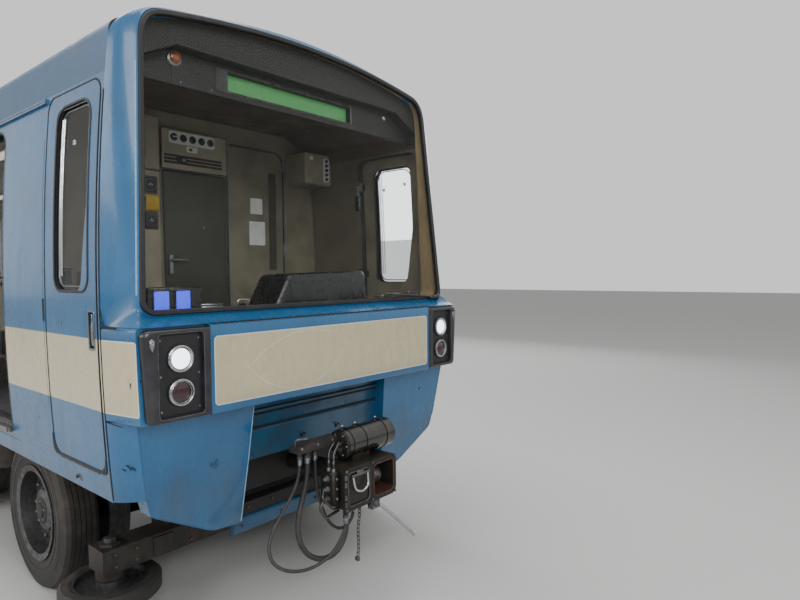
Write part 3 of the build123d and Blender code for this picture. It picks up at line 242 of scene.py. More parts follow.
def ceiling_inside():
    """Roof lining: pale in the saloon, brown in the cab."""
    k = Look("roof_lining", 0.5)
    shade = k.ramp(k.noise(5, 6, 0.6), 0.3, 0.7)
    return lined(k, k.mix(shade, 0xD6D4CE, 0xCCCAC4), k.mix(shade, 0x564735, 0x4A3C2D),
                 k.ramp(k.noise(3, 5), 0.55, 0.8, 0.0, 0.3), 0x786C5A)


def wall_inside():
    """Inner faces of the side walls: laminate with a dark foot in the saloon, grey in the cab."""
    k = Look("inner_wall", 0.42)
    saloon = k.mix(k.ramp(k.noise(5, 5), 0.35, 0.7), 0xCEC8B8, 0xC0B9A8)
    saloon = k.mix(k.ramp(k.z, 1.28, 1.281, 1.0, 0.0), saloon, 0x605C58)
    return lined(k, saloon, k.mix(k.ramp(k.noise(4, 5), 0.35, 0.7), 0x706854, 0x5C5646),
                 k.ramp(k.noise((6, 6, 12), 5), 0.58, 0.8, 0.0, 0.35), 0x60584A)


def speckled_floor():
    """Floor covering with pale flecks and dark dirt in streaks along the car."""
    k = Look("speckled_floor", 0.5)
    base = k.mix(k.ramp(k.noise(3, 4), 0.3, 0.7), 0x424246, 0x36363A)
    colour = k.mix(k.math("MULTIPLY", k.ramp(k.cells(260), 0.16, 0.2, 1.0, 0.0), 0.5), base, 0x94928C)
    colour = k.mix(k.ramp(k.noise((2.2, 5, 1), 5), 0.5, 0.75, 0.0, 0.4), colour, 0x262422)
    return k.finish(colour, k.ramp(k.noise(6, 4), 0.3, 0.7, 0.4, 0.65), k.bump(k.noise(500, 2), 0.15, 0.0004))


def tread_plate():
    """Ribbed metal plate of the door sills."""
    k = Look("ribbed_sill", 0.34, 0.9)
    rib = k.node("ShaderNodeTexWave", {"Vector": k.scaled((1, 1, 0)), "Scale": 22}, wave_type="BANDS",
                 bands_direction="DIAGONAL").outputs["Fac"]
    metal = k.mix(k.ramp(k.noise(40, 5), 0.3, 0.7), 0xA8A6A0, 0x787670)
    return k.finish(k.mix(k.ramp(rib, 0.2, 0.6, 0.6, 0.0), metal, 0x3E3A34), None, k.bump(rib, 0.6, 0.002))


BLUE, BLUE_DEEP, BLUE_PALE = 0x286998, 0x1C5782, 0x3E7EA8
CREAM, CREAM_DIRTY = 0xCAC0A0, 0xB4A987
# centre Y and Z, radius, lowest and highest Y
SCRATCHES = ((-0.314, 1.805, 0.433, -0.672, 0.03), (-0.237, 1.094, 0.588, -0.63, -0.046),
             (0.52, 1.44, 0.1, 0.42, 0.64))

blue_stripe = enamel("blue_enamel_with_stripe", "stripe")
blue_plain = enamel("blue_enamel")
blue_side_panel = enamel("blue_enamel_side_panel", "corner")
blue_front = enamel("blue_enamel_front_band", "front")
roof_blue = worn("dusty_roof_enamel", 0x365674, 0x42617C, 0x586064, 0.55, grain=9, dirt=0.5)
gasket = worn("gasket_rubber", 0x161719, 0x222325, 0x464440, 0.55, grain=40, dirt=0.35)
black_gap = worn("shadow_gap", 0x0C0C0D, 0x121213, 0x1E1D1B, 0.85, grain=40)
pod_black = worn("pod_moulding", 0x212125, 0x2A2A2E, 0x3E3C3C, 0.34, grain=14, dirt=0.4, coat=0.2)
pod_face = worn("pod_face", 0x161619, 0x1E1E21, 0x302E2E, 0.38, grain=20, dirt=0.3)
# pale edge: painted highlight along the rain strip, and a pale line on the notch, the lamp pods' rims and below the cab
# doors
wear_and_highlight_edge = worn("worn_bright_edge", 0x78787C, 0x545458, 0x28282A, 0.4, 0.6, grain=60)
chrome = worn("polished_steel", 0xC4C6C8, 0xAAACB0, 0x6E6C68, 0.16, 1.0, grain=30, dirt=0.3, relief=0.05)
steel = worn("brushed_steel", 0x96989A, 0x7A7C80, 0x504A42, 0.34, 1.0, grain=50, dirt=0.5)
dull_steel = worn("dull_steel", 0x686868, 0x4C4C4C, 0x3A2E24, 0.5, 0.8, grain=30, dirt=0.7)
grime_black = worn("grimy_running_gear", 0x222121, 0x302E2C, 0x483A2C, 0.6, 0.1, grain=14, dirt=0.75, relief=0.4)
grime_grey = worn("grimy_boxes", 0x3E4042, 0x303234, 0x4E4234, 0.58, 0.1, grain=9, dirt=0.7, relief=0.3)
# partly painted shade: the oily casting is darkened further for the shade it lies in under the car
oily_cast_and_shade = worn("oily_casting_with_painted_shade", 0x2A2822, 0x1E1D1A, 0x463625, 0.42, 0.4, grain=22, dirt=0.6, relief=0.5, speck=260)
rust_red = worn("rusty_lip", 0x4E2E24, 0x3E2820, 0x2C231D, 0.62, 0.2, grain=30, dirt=0.6, relief=0.5)
gloss_black = worn("glossy_black_cover", 0x1A1A1A, 0x242321, 0x40382E, 0.22, 0.1, grain=12, dirt=0.5, coat=0.5)
tyre_black = worn("tyre_rubber", 0x262524, 0x32302E, 0x544C42, 0.72, grain=16, dirt=0.6, relief=0.35)
hose_black = worn("hose_rubber", 0x222121, 0x2E2D2C, 0x524A40, 0.5, grain=60, dirt=0.5, relief=0.3)
cab_paint = worn("cab_grey_olive", 0x807864, 0x726B58, 0x4A4234, 0.5, grain=5, dirt=0.5)
# painted shade: the bulkhead door and the cupboard's small dark plates take this dark colour for the shadow on them
cab_dark_paint_and_shade = worn("cab_door_dark", 0x423E31, 0x363329, 0x28241C, 0.4, grain=4, dirt=0.55)
# partly painted shade: darker blue for the apron's centre and lower panels and their bolts, standing in for the shade
# under the band, with grime over it
blue_grime_and_shade = worn("blue_panel_grime_and_painted_shade", 0x265270, 0x1E445E, 0x283238, 0.36, coat=0.2, grain=7, dirt=0.7)
cab_ceiling = worn("cab_ceiling", 0x564735, 0x4A3C2D, 0x362C21, 0.6, grain=4, dirt=0.4)
header_black = worn("header_black", 0x1E1C17, 0x24211C, 0x302B24, 0.5, grain=12, dirt=0.3)
# painted highlight: pale blue lines beside the windscreen and on the right apron wing's inner edge
blue_painted_highlight = worn("blue_edge_painted_highlight", 0x96BAD0, 0x70A0C4, 0x506E82, 0.4, grain=40)
reveal_tan = worn("cab_reveal_tan", 0x8E7854, 0x7A6646, 0x504432, 0.55, grain=6, dirt=0.5, relief=0.05)
console_black = worn("console_black", 0x0C0C0D, 0x111112, 0x201E1C, 0.3, grain=9, dirt=0.3, coat=0.2, relief=0.015)
cowl_black = worn("cowl_black", 0x09090A, 0x0D0D0E, 0x161513, 0.26, grain=9, dirt=0.2, coat=0.15, relief=0.004)
cab_fascia = worn("cab_fascia_grey", 0x9E9680, 0x928A75, 0x625A4A, 0.45, grain=6, dirt=0.35)
saloon_cream = worn("saloon_laminate", 0xCEC8B8, 0xC4BEAE, 0xA09684, 0.4, grain=6, dirt=0.25)
white_plate = worn("blank_white_plate", 0xDEDED8, 0xCECEC8, 0x96928A, 0.4, dirt=0.2)
yellow_plate = worn("yellow_box", 0xCEA822, 0xBA941E, 0x786028, 0.45, dirt=0.3)
clear_pane = glass("windscreen_glass", 0xE2ECEA, 0.03)
side_pane = glass("side_glass", 0xD6E0E4, 0.04)
lamp_white = glow("headlamp_lit", 0xF6F9FF, 3.2)
lamp_red = worn("tail_lamp_red", 0x36080A, 0x280608, 0x180808, 0.12, coat=0.8, grain=60, dirt=0.2, relief=0.5,
                speck=900)
lamp_amber = worn("amber_lens", 0x964616, 0x803812, 0x46220E, 0.15, coat=0.7, grain=60, dirt=0.3)
blind_green = glow("blind_green", 0x2C8234, 0.28, 0.35)
display_blue = glow("display_blue", 0x2440F0, 0.9)
saloon_ceiling, inner_wall = ceiling_inside(), wall_inside()
floor_look, sill_look = speckled_floor(), tread_plate()

# ---------------- camera at the photograph's place

FOCAL_PIXELS, PHOTO_WIDTH, SENSOR = 598.05, 800, 36
yaw, pitch, roll = math.radians(50.128), math.radians(2.535), math.radians(0.455)
level = Vector((-math.cos(yaw), math.sin(yaw), 0))
across = Vector((math.sin(yaw), math.cos(yaw), 0))
forward = level * math.cos(pitch) - UP * math.sin(pitch)
top = UP * math.cos(pitch) + level * math.sin(pitch)
right = across * math.cos(roll) - top * math.sin(roll)
top = across * math.sin(roll) + top * math.cos(roll)
lens = bpy.data.cameras.new("photo_view")
lens.sensor_width = SENSOR
lens.lens = FOCAL_PIXELS * SENSOR / PHOTO_WIDTH
lens.clip_start, lens.clip_end = 0.05, 400
eye = link("photo_view", lens)
eye.matrix_world = (Matrix.Translation((10.7598, -2.4646, 1.99))
                    @ Matrix((right, top, -forward)).transposed().to_4x4())
bpy.context.scene.camera = eye

# ---------------- hoses


def hose_curve(name, points, radius):
    """Round hose on one smooth line; each point's radius is the hose's own."""
    data = bpy.data.curves.new(name, "CURVE")
    data.dimensions = "3D"
    spline = data.splines.new("NURBS")
    spline.points.add(len(points) - 1)
    for p, q in zip(spline.points, points):
        p.co = (*q, 1)
        p.radius = radius
    spline.order_u = 3
    spline.use_endpoint_u = True
    data.resolution_u = 10
    data.bevel_depth = 1.0
    data.bevel_resolution = 6
    data.use_fill_caps = True
    data.materials.append(hose_black)
    return link(name, data)


# each hose: its route from the manifold to the coupler head, diameter, length
HOSES = {
    "hose_main": (((8.29, -0.31, 1.0), (8.29, -0.31, 0.89), (8.282, -0.338, 0.775), (8.28, -0.374, 0.665),
                   (8.294, -0.388, 0.56), (8.328, -0.362, 0.475), (8.368, -0.296, 0.43), (8.392, -0.212, 0.438),
                   (8.4, -0.148, 0.496), (8.4, -0.12, 0.578), (8.4, -0.12, 0.66)), 0.03, 0.965),
    "hose_inner": (((8.29, -0.255, 1.0), (8.29, -0.255, 0.9), (8.298, -0.25, 0.8), (8.312, -0.236, 0.705),
                    (8.328, -0.208, 0.62), (8.341, -0.162, 0.56), (8.35, -0.104, 0.537), (8.357, -0.054, 0.56),
                    (8.36, -0.026, 0.61), (8.36, -0.026, 0.66)), 0.018, 0.683),
    "hose_outer": (((8.29, -0.365, 1.0), (8.29, -0.365, 0.91), (8.278, -0.402, 0.815), (8.26, -0.455, 0.73),
                    (8.252, -0.515, 0.652), (8.266, -0.566, 0.578), (8.304, -0.58, 0.508), (8.354, -0.535, 0.458),
                    (8.394, -0.45, 0.436), (8.42, -0.355, 0.442), (8.436, -0.265, 0.48), (8.444, -0.205, 0.545),
                    (8.446, -0.175, 0.605), (8.446, -0.175, 0.66)), 0.018, 1.141),
}
for node, (route, diameter, length) in HOSES.items():
    piece = hose_curve(node + "_rubber", route, diameter / 2)
    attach(piece, "car_body")
    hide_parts(node)
    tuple(route[0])

# ---------------- studio

ground = bpy.data.meshes.new("studio_floor")
ground.from_pydata([(-60, -60, -0.001), (60, -60, -0.001), (60, 60, -0.001), (-60, 60, -0.001)], [], [(0, 1, 2, 3)])
ground.materials.append(Look("studio_floor", 0.9, coat_rough=0.03).finish((0.62, 0.62, 0.61, 1)))
link("studio_floor", ground)

bpy.context.scene.world = bpy.data.worlds.new("studio")
sky = Nodes(bpy.context.scene.world)
path = sky.node("ShaderNodeLightPath", ()).outputs
seen = path["Is Camera Ray"]
for ray in ("Is Glossy Ray", "Is Transmission Ray"):
    seen = sky.math("MAXIMUM", seen, path[ray])
plain = sky.node("ShaderNodeBackground", ((1, 1, 1, 1), 0.42)).outputs[0]
backdrop = sky.node("ShaderNodeBackground", [(0.93, 0.93, 0.93, 1)]).outputs[0]
sky.node("ShaderNodeOutputWorld", [sky.node("ShaderNodeMixShader", (seen, plain, backdrop)).outputs[0]])

# lamps: place, aim, width, height, power in watts
for name, place, aim, width, height, watts in (
        ("soft_top", (3, 0, 9), (3, 0, 0), 16, 6, 900), ("soft_front", (16, -4, 6), (8, 0, 1.5), 5, 4, 420),
        ("soft_side", (4, -11, 6), (2, 0, 1.5), 14, 4, 700), ("soft_left", (-1, 12, 5), (-1, 0, 1.5), 16, 4, 420),
        ("soft_back", (-17, -1, 5), (-8, 0, 1.5), 5, 4, 260)):
    data = bpy.data.lights.new(name, "AREA")
    data.shape = "RECTANGLE"
    data.size, data.size_y, data.energy = width, height, watts
    o = link(name, data)
    o.location = place
    o.rotation_mode = "QUATERNION"
    o.rotation_quaternion = (Vector(aim) - Vector(place)).to_track_quat("-Z", "Y")

# ---------------- materials on the CAD nodes


def islands(mesh):
    """Polygons grouped by the separate solid that they belong to."""
    places = {}
    same = [places.setdefault(tuple(round(c, 5) for c in v.co), v.index) for v in mesh.vertices]
    parent = list(range(len(same)))

    def root(a):
        while parent[a] != a:
            parent[a] = parent[parent[a]]
            a = parent[a]
        return a

    for p in mesh.polygons:
        first = root(same[p.vertices[0]])
        for v in p.vertices[1:]:
            parent[root(same[v])] = first
    groups = {}
    for p in mesh.polygons:
        groups.setdefault(root(same[p.vertices[0]]), []).append(p)
    return groups.values()


def dress(name, rule):
    """Give each polygon one look, or the look that rule(centre, normal, low, high of its solid) names."""
    mesh = nodes[name].data
    mesh.materials.clear()
    table = []
    for group in islands(mesh):
        points = [mesh.vertices[v].co for p in group for v in p.vertices]
        low, high = ([f(q[k] for q in points) for k in range(3)] for f in (min, max))
        for p in group:
            m = rule(p.center, p.normal, low, high) if callable(rule) else rule
            if m not in table:
                table.append(m)
                mesh.materials.append(m)
            p.material_index = table.index(m)


def near_door(x):
    return any(abs(x - d) < 0.66 for d in DOORS)


def outward(c, n):
    return n.y * (1 if c.y > 0 else -1)


def side_rule(c, n, low, high):
    out, depth = outward(c, n), wall_y(c.z) - abs(c.y)
    if 1.055 < c.z < 1.0955 and near_door(c.x) and depth < 0.12 and (n.z > 0.5 or depth < 0.002):
        return sill_look
    if out > 0.6 and depth < 0.006:
        return blue_stripe
    if out < -0.6 and 0.075 < depth < 0.1:
        return inner_wall
    if depth < -0.001 and c.z > 2.8:
        return roof_blue
    if abs(out) > 0.6:
        return black_gap if c.z > 1.03 else grime_black
    if near_door(c.x) and 1.05 < c.z < 2.87:
        return dull_steel if depth > 0.03 else blue_plain
    if c.x > 7.96 and n.x > 0.6:
        return reveal_tan if c.z > 1.76 else blue_plain
    if c.x > 7.3:
        return gasket if depth > 0.004 else blue_plain
    if 1.85 < c.z < 2.75:
        return gasket
    return blue_plain if c.z > 1.1 else grime_black


def roof_rule(c, n, low, high):
    if n.z > 0.02 and c.z > 2.9 and (c.z > 3.16 or abs(c.y) > wall_y(c.z) - 0.02):
        return roof_blue
    if abs(n.x) > 0.6:
        return header_black if n.x > 0 else blue_plain
    return cab_ceiling if c.x > 6.74 else saloon_ceiling


def leaf_rule(c, n, low, high):
    if low[2] > 1.5:
        return side_pane
    if outward(c, n) > 0.5 and abs(c.y) > wall_y(c.z) - 0.045:
        return blue_stripe
    return saloon_cream if outward(c, n) < -0.5 else gasket


def cab_door_rule(c, n, low, high):
    if low[2] > 1.5:
        return side_pane
    if outward(c, n) > 0.5 and wall_y(c.z) - abs(c.y) < 0.006:
        return blue_stripe
    if outward(c, n) < -0.5:
        return cab_paint
    return steel if 7.84 < c.x < 7.905 and 1.64 < c.z < 1.83 else gasket


def band_rule(c, n, low, high):
    if n.x > 0.4:
        return blue_front
    return blue_stripe if abs(n.y) > 0.4 else blue_plain


def apron_rule(c, n, low, high):
    if n.x <= -0.3 or n.z <= -0.8:
        return grime_black
    # painted shade and grime: the centre and lower panels take the darker blue
    return blue_grime_and_shade if abs(c.y) < 0.524 or c.z < 0.652 else blue_plain


def bulkhead_rule(c, n, low, high):
    if n.x < -0.5:
        return saloon_cream
    # painted shade: the door in the bulkhead takes the dark colour of its shadow
    return cab_dark_paint_and_shade if n.x > 0.5 and c.x < 6.735 and -0.28 < c.y < 0.22 else cab_paint


def wheel_rule(c, n, low, high):
    if high[2] - low[2] > 0.95 or high[2] < 0.3 and high[0] - low[0] > 0.45:
        return tyre_black
    return grime_black if abs(c.y) < 0.6 and high[2] - low[2] < 0.2 else dull_steel


def coupler_rule(c, n, low, high):
    around = math.hypot(c.x - CYLINDER_X, c.z - CYLINDER_Z)
    if -0.112 <= c.y <= 0.277 and around < 0.0866 and (around > 0.083 or c.y < -0.1095 or c.y > 0.2745):
        return gloss_black
    if c.z > 0.99 and c.y < -0.08:
        return grime_black
    if c.y > 0.02 and c.z < 0.668:
        return steel
    return rust_red if 0.715 < c.z < 0.74 and c.x > 8.39 and c.y > 0.01 else oily_cast_and_shade


def rear_rule(c, n, low, high):
    if n.x < -0.4:
        return steel if abs(c.y) < 0.36 and c.x > -8.245 else blue_stripe
    if n.x > 0.4:
        return saloon_cream
    return gasket if abs(c.y) < 0.5 else blue_stripe


def lamp_rule(c, n, low, high):
    z = (low[2] + high[2]) / 2
    if math.hypot(abs(c.y) - LAMP_Y, c.z - z) < 0.0505 and n.x > 0.2:
        return lamp_white if z > 1.53 else lamp_red
    return chrome


# each node's look or rule, by its name or by how its name begins
DRESS = {
    "side_right": side_rule, "side_left": side_rule, "side_windows": side_pane, "roof": roof_rule,
    "roof_ventilators": roof_blue, "front_mask": lambda c, n, low, high: blue_plain if n.x > -0.5 else black_gap,
    "windscreen": lambda c, n, low, high: clear_pane if low[2] > 1.82 else gasket, "front_band": band_rule,
    "lamp_pods": lambda c, n, low, high:
        pod_face if c.x < 8.226 and n.x > 0.7 and 0.88 < abs(c.y) < 1.13 else pod_black,
    "front_lamps": lamp_rule, "front_apron": apron_rule,
    "deck": lambda c, n, low, high: floor_look if n.z > 0.5 and c.z > 1.09 else grime_black,
    "rear_wall": rear_rule, "cab_bulkhead": bulkhead_rule,
    "cab_desk": lambda c, n, low, high: console_black if n.x > -0.5 else cab_paint,
    "cab_header": lambda c, n, low, high: blind_green if n.x > 0.7 and c.x < 7.86 else header_black,
    "cab_seat": console_black, "wiper": gloss_black, "seats": saloon_cream, "grab_poles": chrome,
    "equipment_boxes": grime_grey, "air_reservoirs": grime_black, "coupler_front": coupler_rule,
    "coupler_rear": oily_cast_and_shade, "bogie": grime_black, "wheelset": wheel_rule, "guide_wheel": wheel_rule,
    "door_": leaf_rule, "cab_door": cab_door_rule, "hose": hose_black,
}
for name in nodes.keys():
    dress(name, DRESS[name if name in DRESS else next(k for k in DRESS if name.startswith(k))])

# ---------------- mesh tools

CORNERS = [(x, y, z) for x in (-1, 1) for y in (-1, 1) for z in (-1, 1)]


def box_faces():
    """Faces of a chamfered box, whose corner i has a point on each of its three sides."""
    faces = []

    def at(k, a, b, sk, sa, sb):
        corner = [0, 0, 0]
        corner[k], corner[a], corner[b] = sk, sa, sb
        return CORNERS.index(tuple(corner)) * 3

    for k in range(3):
        a, b = [m for m in range(3) if m != k]
        for s in (-1, 1):
            faces.append([at(k, a, b, s, sa, sb) + k for sa, sb in ((-1, -1), (1, -1), (1, 1), (-1, 1))])
        for sa in (-1, 1):
            for sb in (-1, 1):
                low, high = (at(k, a, b, sk, sa, sb) for sk in (-1, 1))
                faces.append([low + a, high + a, high + b, low + b])
    return faces + [[3 * i, 3 * i + 1, 3 * i + 2] for i in range(8)]


BOX_FACES = box_faces()


def turns(sides):
    return [2 * math.pi * i / sides for i in range(sides)]


def cross_axes(axis):
    """Unit axis and two directions square to it."""
    axis = Vector(axis).normalized()
    u = axis.orthogonal().normalized()
    return axis, u, axis.cross(u)


def heading(line, i, closed):
    """Direction of a line at its point i."""
    before = line[i - 1] if i or closed else line[i]
    after = line[(i + 1) % len(line)] if i + 1 < len(line) or closed else line[i]
    return after - before


def around(place, axis, radius, count, start=0.0):
    """Points on a circle round one of the main axes: 0, 1 or 2 for X, Y or Z."""
    a, b = [m for m in range(3) if m != axis]
    for t in turns(count):
        q = Vector(place)
        q[a] += radius * math.cos(t + start)
        q[b] += radius * math.sin(t + start)
        yield q


class Piece:
    """Points and faces in plain lists, made into one mesh that rides on one body."""

    def __init__(self, name, body="car_body", slot=None):
        self.name, self.body, self.slot = name, body, slot
        self.points, self.faces, self.picks, self.looks = [], [], [], []

    def pick(self, look):
        if look not in self.looks:
            self.looks.append(look)
        return self.looks.index(look)

    def add(self, points, faces, look):
        base = len(self.points)
        self.points += [tuple(p) for p in points]
        self.faces += [[base + i for i in f] for f in faces]
        self.picks += [self.pick(look)] * len(faces)

    def rings(self, rings, look, closed=False):
        """Skin over rings of equally many points, with flat ends unless it is closed."""
        n, total = len(rings[0]), len(rings) * len(rings[0])
        faces = []
        for i in range(len(rings) if closed else len(rings) - 1):
            a, b = i * n, (i + 1) % len(rings) * n
            faces += [(a + j, a + (j + 1) % n, b + (j + 1) % n, b + j) for j in range(n)]
        if not closed:
            faces += [tuple(range(n)), tuple(range(total - n, total))]
        self.add([p for r in rings for p in r], faces, look)

    def sheet(self, rows, looks):
        """Open skin over closed rows; looks is one material or one for each column."""
        n, base = len(rows[0]), len(self.faces)
        faces = [(i * n + j, i * n + (j + 1) % n, (i + 1) * n + (j + 1) % n, (i + 1) * n + j)
                 for i in range(len(rows) - 1) for j in range(n)]
        each = looks if isinstance(looks, list) else [looks] * n
        self.add([q for r in rows for q in r], faces, each[0])
        self.picks[base:] = [self.pick(each[i % n]) for i in range(len(faces))]

    def cap(self, row, look):
        self.add(row, [list(range(len(row)))], look)

    def block(self, middle, half, look, edge=0.003):
        """Chamfered box from its middle and half its size."""
        edge = min(edge, min(half) * 0.7)
        self.add([Vector(middle) + Vector([s * (h if m == k else h - edge) for m, (s, h) in enumerate(zip(c, half))])
                  for c in CORNERS for k in range(3)], BOX_FACES, look)

    def box(self, one, other, look, edge=0.003):
        """Chamfered box between two opposite corners."""
        low, high = Vector(map(min, one, other)), Vector(map(max, one, other))
        self.block((low + high) / 2, (high - low) / 2, look, edge)

    def tube(self, line, radius, look, sides=12, closed=False):
        """Round bar along a line; radius is one number or one for each point."""
        line = [Vector(p) for p in line]
        rings, side = [], None
        for i, p in enumerate(line):
            along = heading(line, i, closed).normalized()
            side = along.orthogonal() if side is None else side
            side = (side - along * side.dot(along)).normalized()
            other = along.cross(side)
            r = radius[i] if hasattr(radius, "__len__") else radius
            rings.append([p + (side * math.cos(a) + other * math.sin(a)) * r for a in turns(sides)])
        self.rings(rings, look, closed)

    def turned(self, place, axis, profile, look, sides=28):
        """Turned shape; profile is a list of (distance along the axis, radius)."""
        axis, u, v = cross_axes(axis)
        self.rings([[Vector(place) + axis * d + (u * math.cos(a) + v * math.sin(a)) * max(r, 0.0004)
                     for a in turns(sides)] for d, r in profile], look)

    def bolts(self, places, axis, r, look, sides=6):
        for place in places:
            self.turned(place, axis, ((-0.001, r), (r * 0.7, r), (r * 0.95, r * 0.8)), look, sides)

    def ring(self, place, axis, inner, outer, height, look, sides=40):
        """Raised flat ring with rounded shoulders."""
        axis, u, v = cross_axes(axis)
        soft = (outer - inner) * 0.25
        section = ((0, inner), (height * 0.7, inner), (height, inner + soft), (height, outer - soft),
                   (height * 0.7, outer), (0, outer))
        self.rings([[Vector(place) + axis * d + (u * math.cos(a) + v * math.sin(a)) * r for d, r in section]
                    for a in turns(sides)], look, closed=True)

    def strip(self, line, normals, width, height, look, closed=True, sink=0.002):
        """Band with rounded shoulders, lying on a surface along a line; normals may be one for all."""
        rings = []
        for i, (p, n) in enumerate(zip(line, [normals] * len(line) if isinstance(normals, Vector) else normals)):
            side = heading(line, i, closed).cross(n).normalized() * (width / 2)
            rings.append([p - side - n * sink, p - side + n * height * 0.6, p - side * 0.65 + n * height,
                          p + side * 0.65 + n * height, p + side + n * height * 0.6, p + side - n * sink])
        self.rings(rings, look, closed)

    def side_strip(self, side, outline, proud, width, height, look, closed=True, inward=False):
        """Strip along an outline, (x, z), on the curved side or that far outside it."""
        normals = [side_normal(side, z) * (-1 if inward else 1) for x, z in outline]
        self.strip([on_side(side, x, z, proud) for x, z in outline], normals, width, height, look, closed)

    def slab(self, outline, thick, look, edge=0.0):
        """Flat outline given a thickness by a vector, its far face a little smaller."""
        outline, thick = [Vector(p) for p in outline], Vector(thick)
        middle = sum(outline, Vector()) / len(outline)
        rings = [outline, [p + thick * (0.7 if edge else 1) for p in outline]]
        if edge:
            rings.append([p + (middle - p).normalized() * edge + thick for p in outline])
        self.rings(rings, look)

    def done(self, angle=38, replaces=()):
        mesh = bpy.data.meshes.new(self.name)
        mesh.from_pydata(self.points, [], self.faces)
        for m in self.looks:
            mesh.materials.append(m)
        mesh.polygons.foreach_set("material_index", self.picks)
        b = bmesh.new()
        b.from_mesh(mesh)
        bmesh.ops.recalc_face_normals(b, faces=b.faces)
        b.to_mesh(mesh)
        b.free()
        mesh.shade_smooth()
        mesh.set_sharp_from_angle(angle=math.radians(angle))
        o = link(self.name, mesh)
        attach(o, self.body)
        for node in replaces:
            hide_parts(node)
        return o


def rounded(corners, radius, step=9, gap=0.12):
    """Closed 2-D outline with arcs at its corners and points along its long runs."""
    out = []
    for i, c in enumerate(corners):
        c, before, after = Vector(c), Vector(corners[i - 1]), Vector(corners[(i + 1) % len(corners)])
        a, b = (before - c).normalized(), (after - c).normalized()
        half = a.angle(b) / 2
        r = radius[i] if hasattr(radius, "__len__") else radius
        middle = c + (a + b).normalized() * r / math.sin(half)
        start, end = c + a * r / math.tan(half) - middle, c + b * r / math.tan(half) - middle
        sweep = start.angle_signed(end)
        for k in range(step):
            angle = -sweep * k / (step - 1)
            out.append(middle + Vector((start.x * math.cos(angle) - start.y * math.sin(angle),
                                        start.x * math.sin(angle) + start.y * math.cos(angle))))
    dense = []
    for p, q in zip(out, out[1:] + out[:1]):
        parts = max(1, int((q - p).length / gap))
        dense += [p.lerp(q, k / parts) for k in range(parts)]
    return dense


def oblong(x0, z0, x1, z1, radius, step=9, gap=0.12):
    """Rounded outline of a rectangle."""
    return rounded([(x0, z0), (x1, z0), (x1, z1), (x0, z1)], radius, step, gap)


def at_x(x, outline, side=1):
    """Outline (y, z) placed at one X; side -1 mirrors it."""
    return [Vector((x, side * y, z)) for y, z in outline]


def side_normal(side, z):
    lean = (z - BELT_Z) / SIDE_RADIUS
    return Vector((0, side * math.sqrt(1 - lean * lean), lean))


def on_side(side, x, z, proud=0.0):
    return Vector((x, side * wall_y(z), z)) + side_normal(side, z) * proud


def curve(a, b, c, t):
    """Point of the quadratic curve from a to c with its knee at b."""
    return tuple(p * (1 - t) ** 2 + q * 2 * t * (1 - t) + r * t ** 2 for p, q, r in zip(a, b, c))


def bend(points, radius, step=7):
    """Open line with rounded corners."""
    points = [Vector(p) for p in points]
    out = [points[0]]
    for before, c, after in zip(points, points[1:], points[2:]):
        a, b = before - c, after - c
        reach = min(radius, a.length * 0.45, b.length * 0.45)
        ends = c + a.normalized() * reach, c + b.normalized() * reach
        out += [Vector(curve(ends[0], c, ends[1], k / (step - 1))) for k in range(step)]
    return out + [points[-1]]


def steps(start, step, count):
    return [start + step * k for k in range(count)]


# ---------------- sides

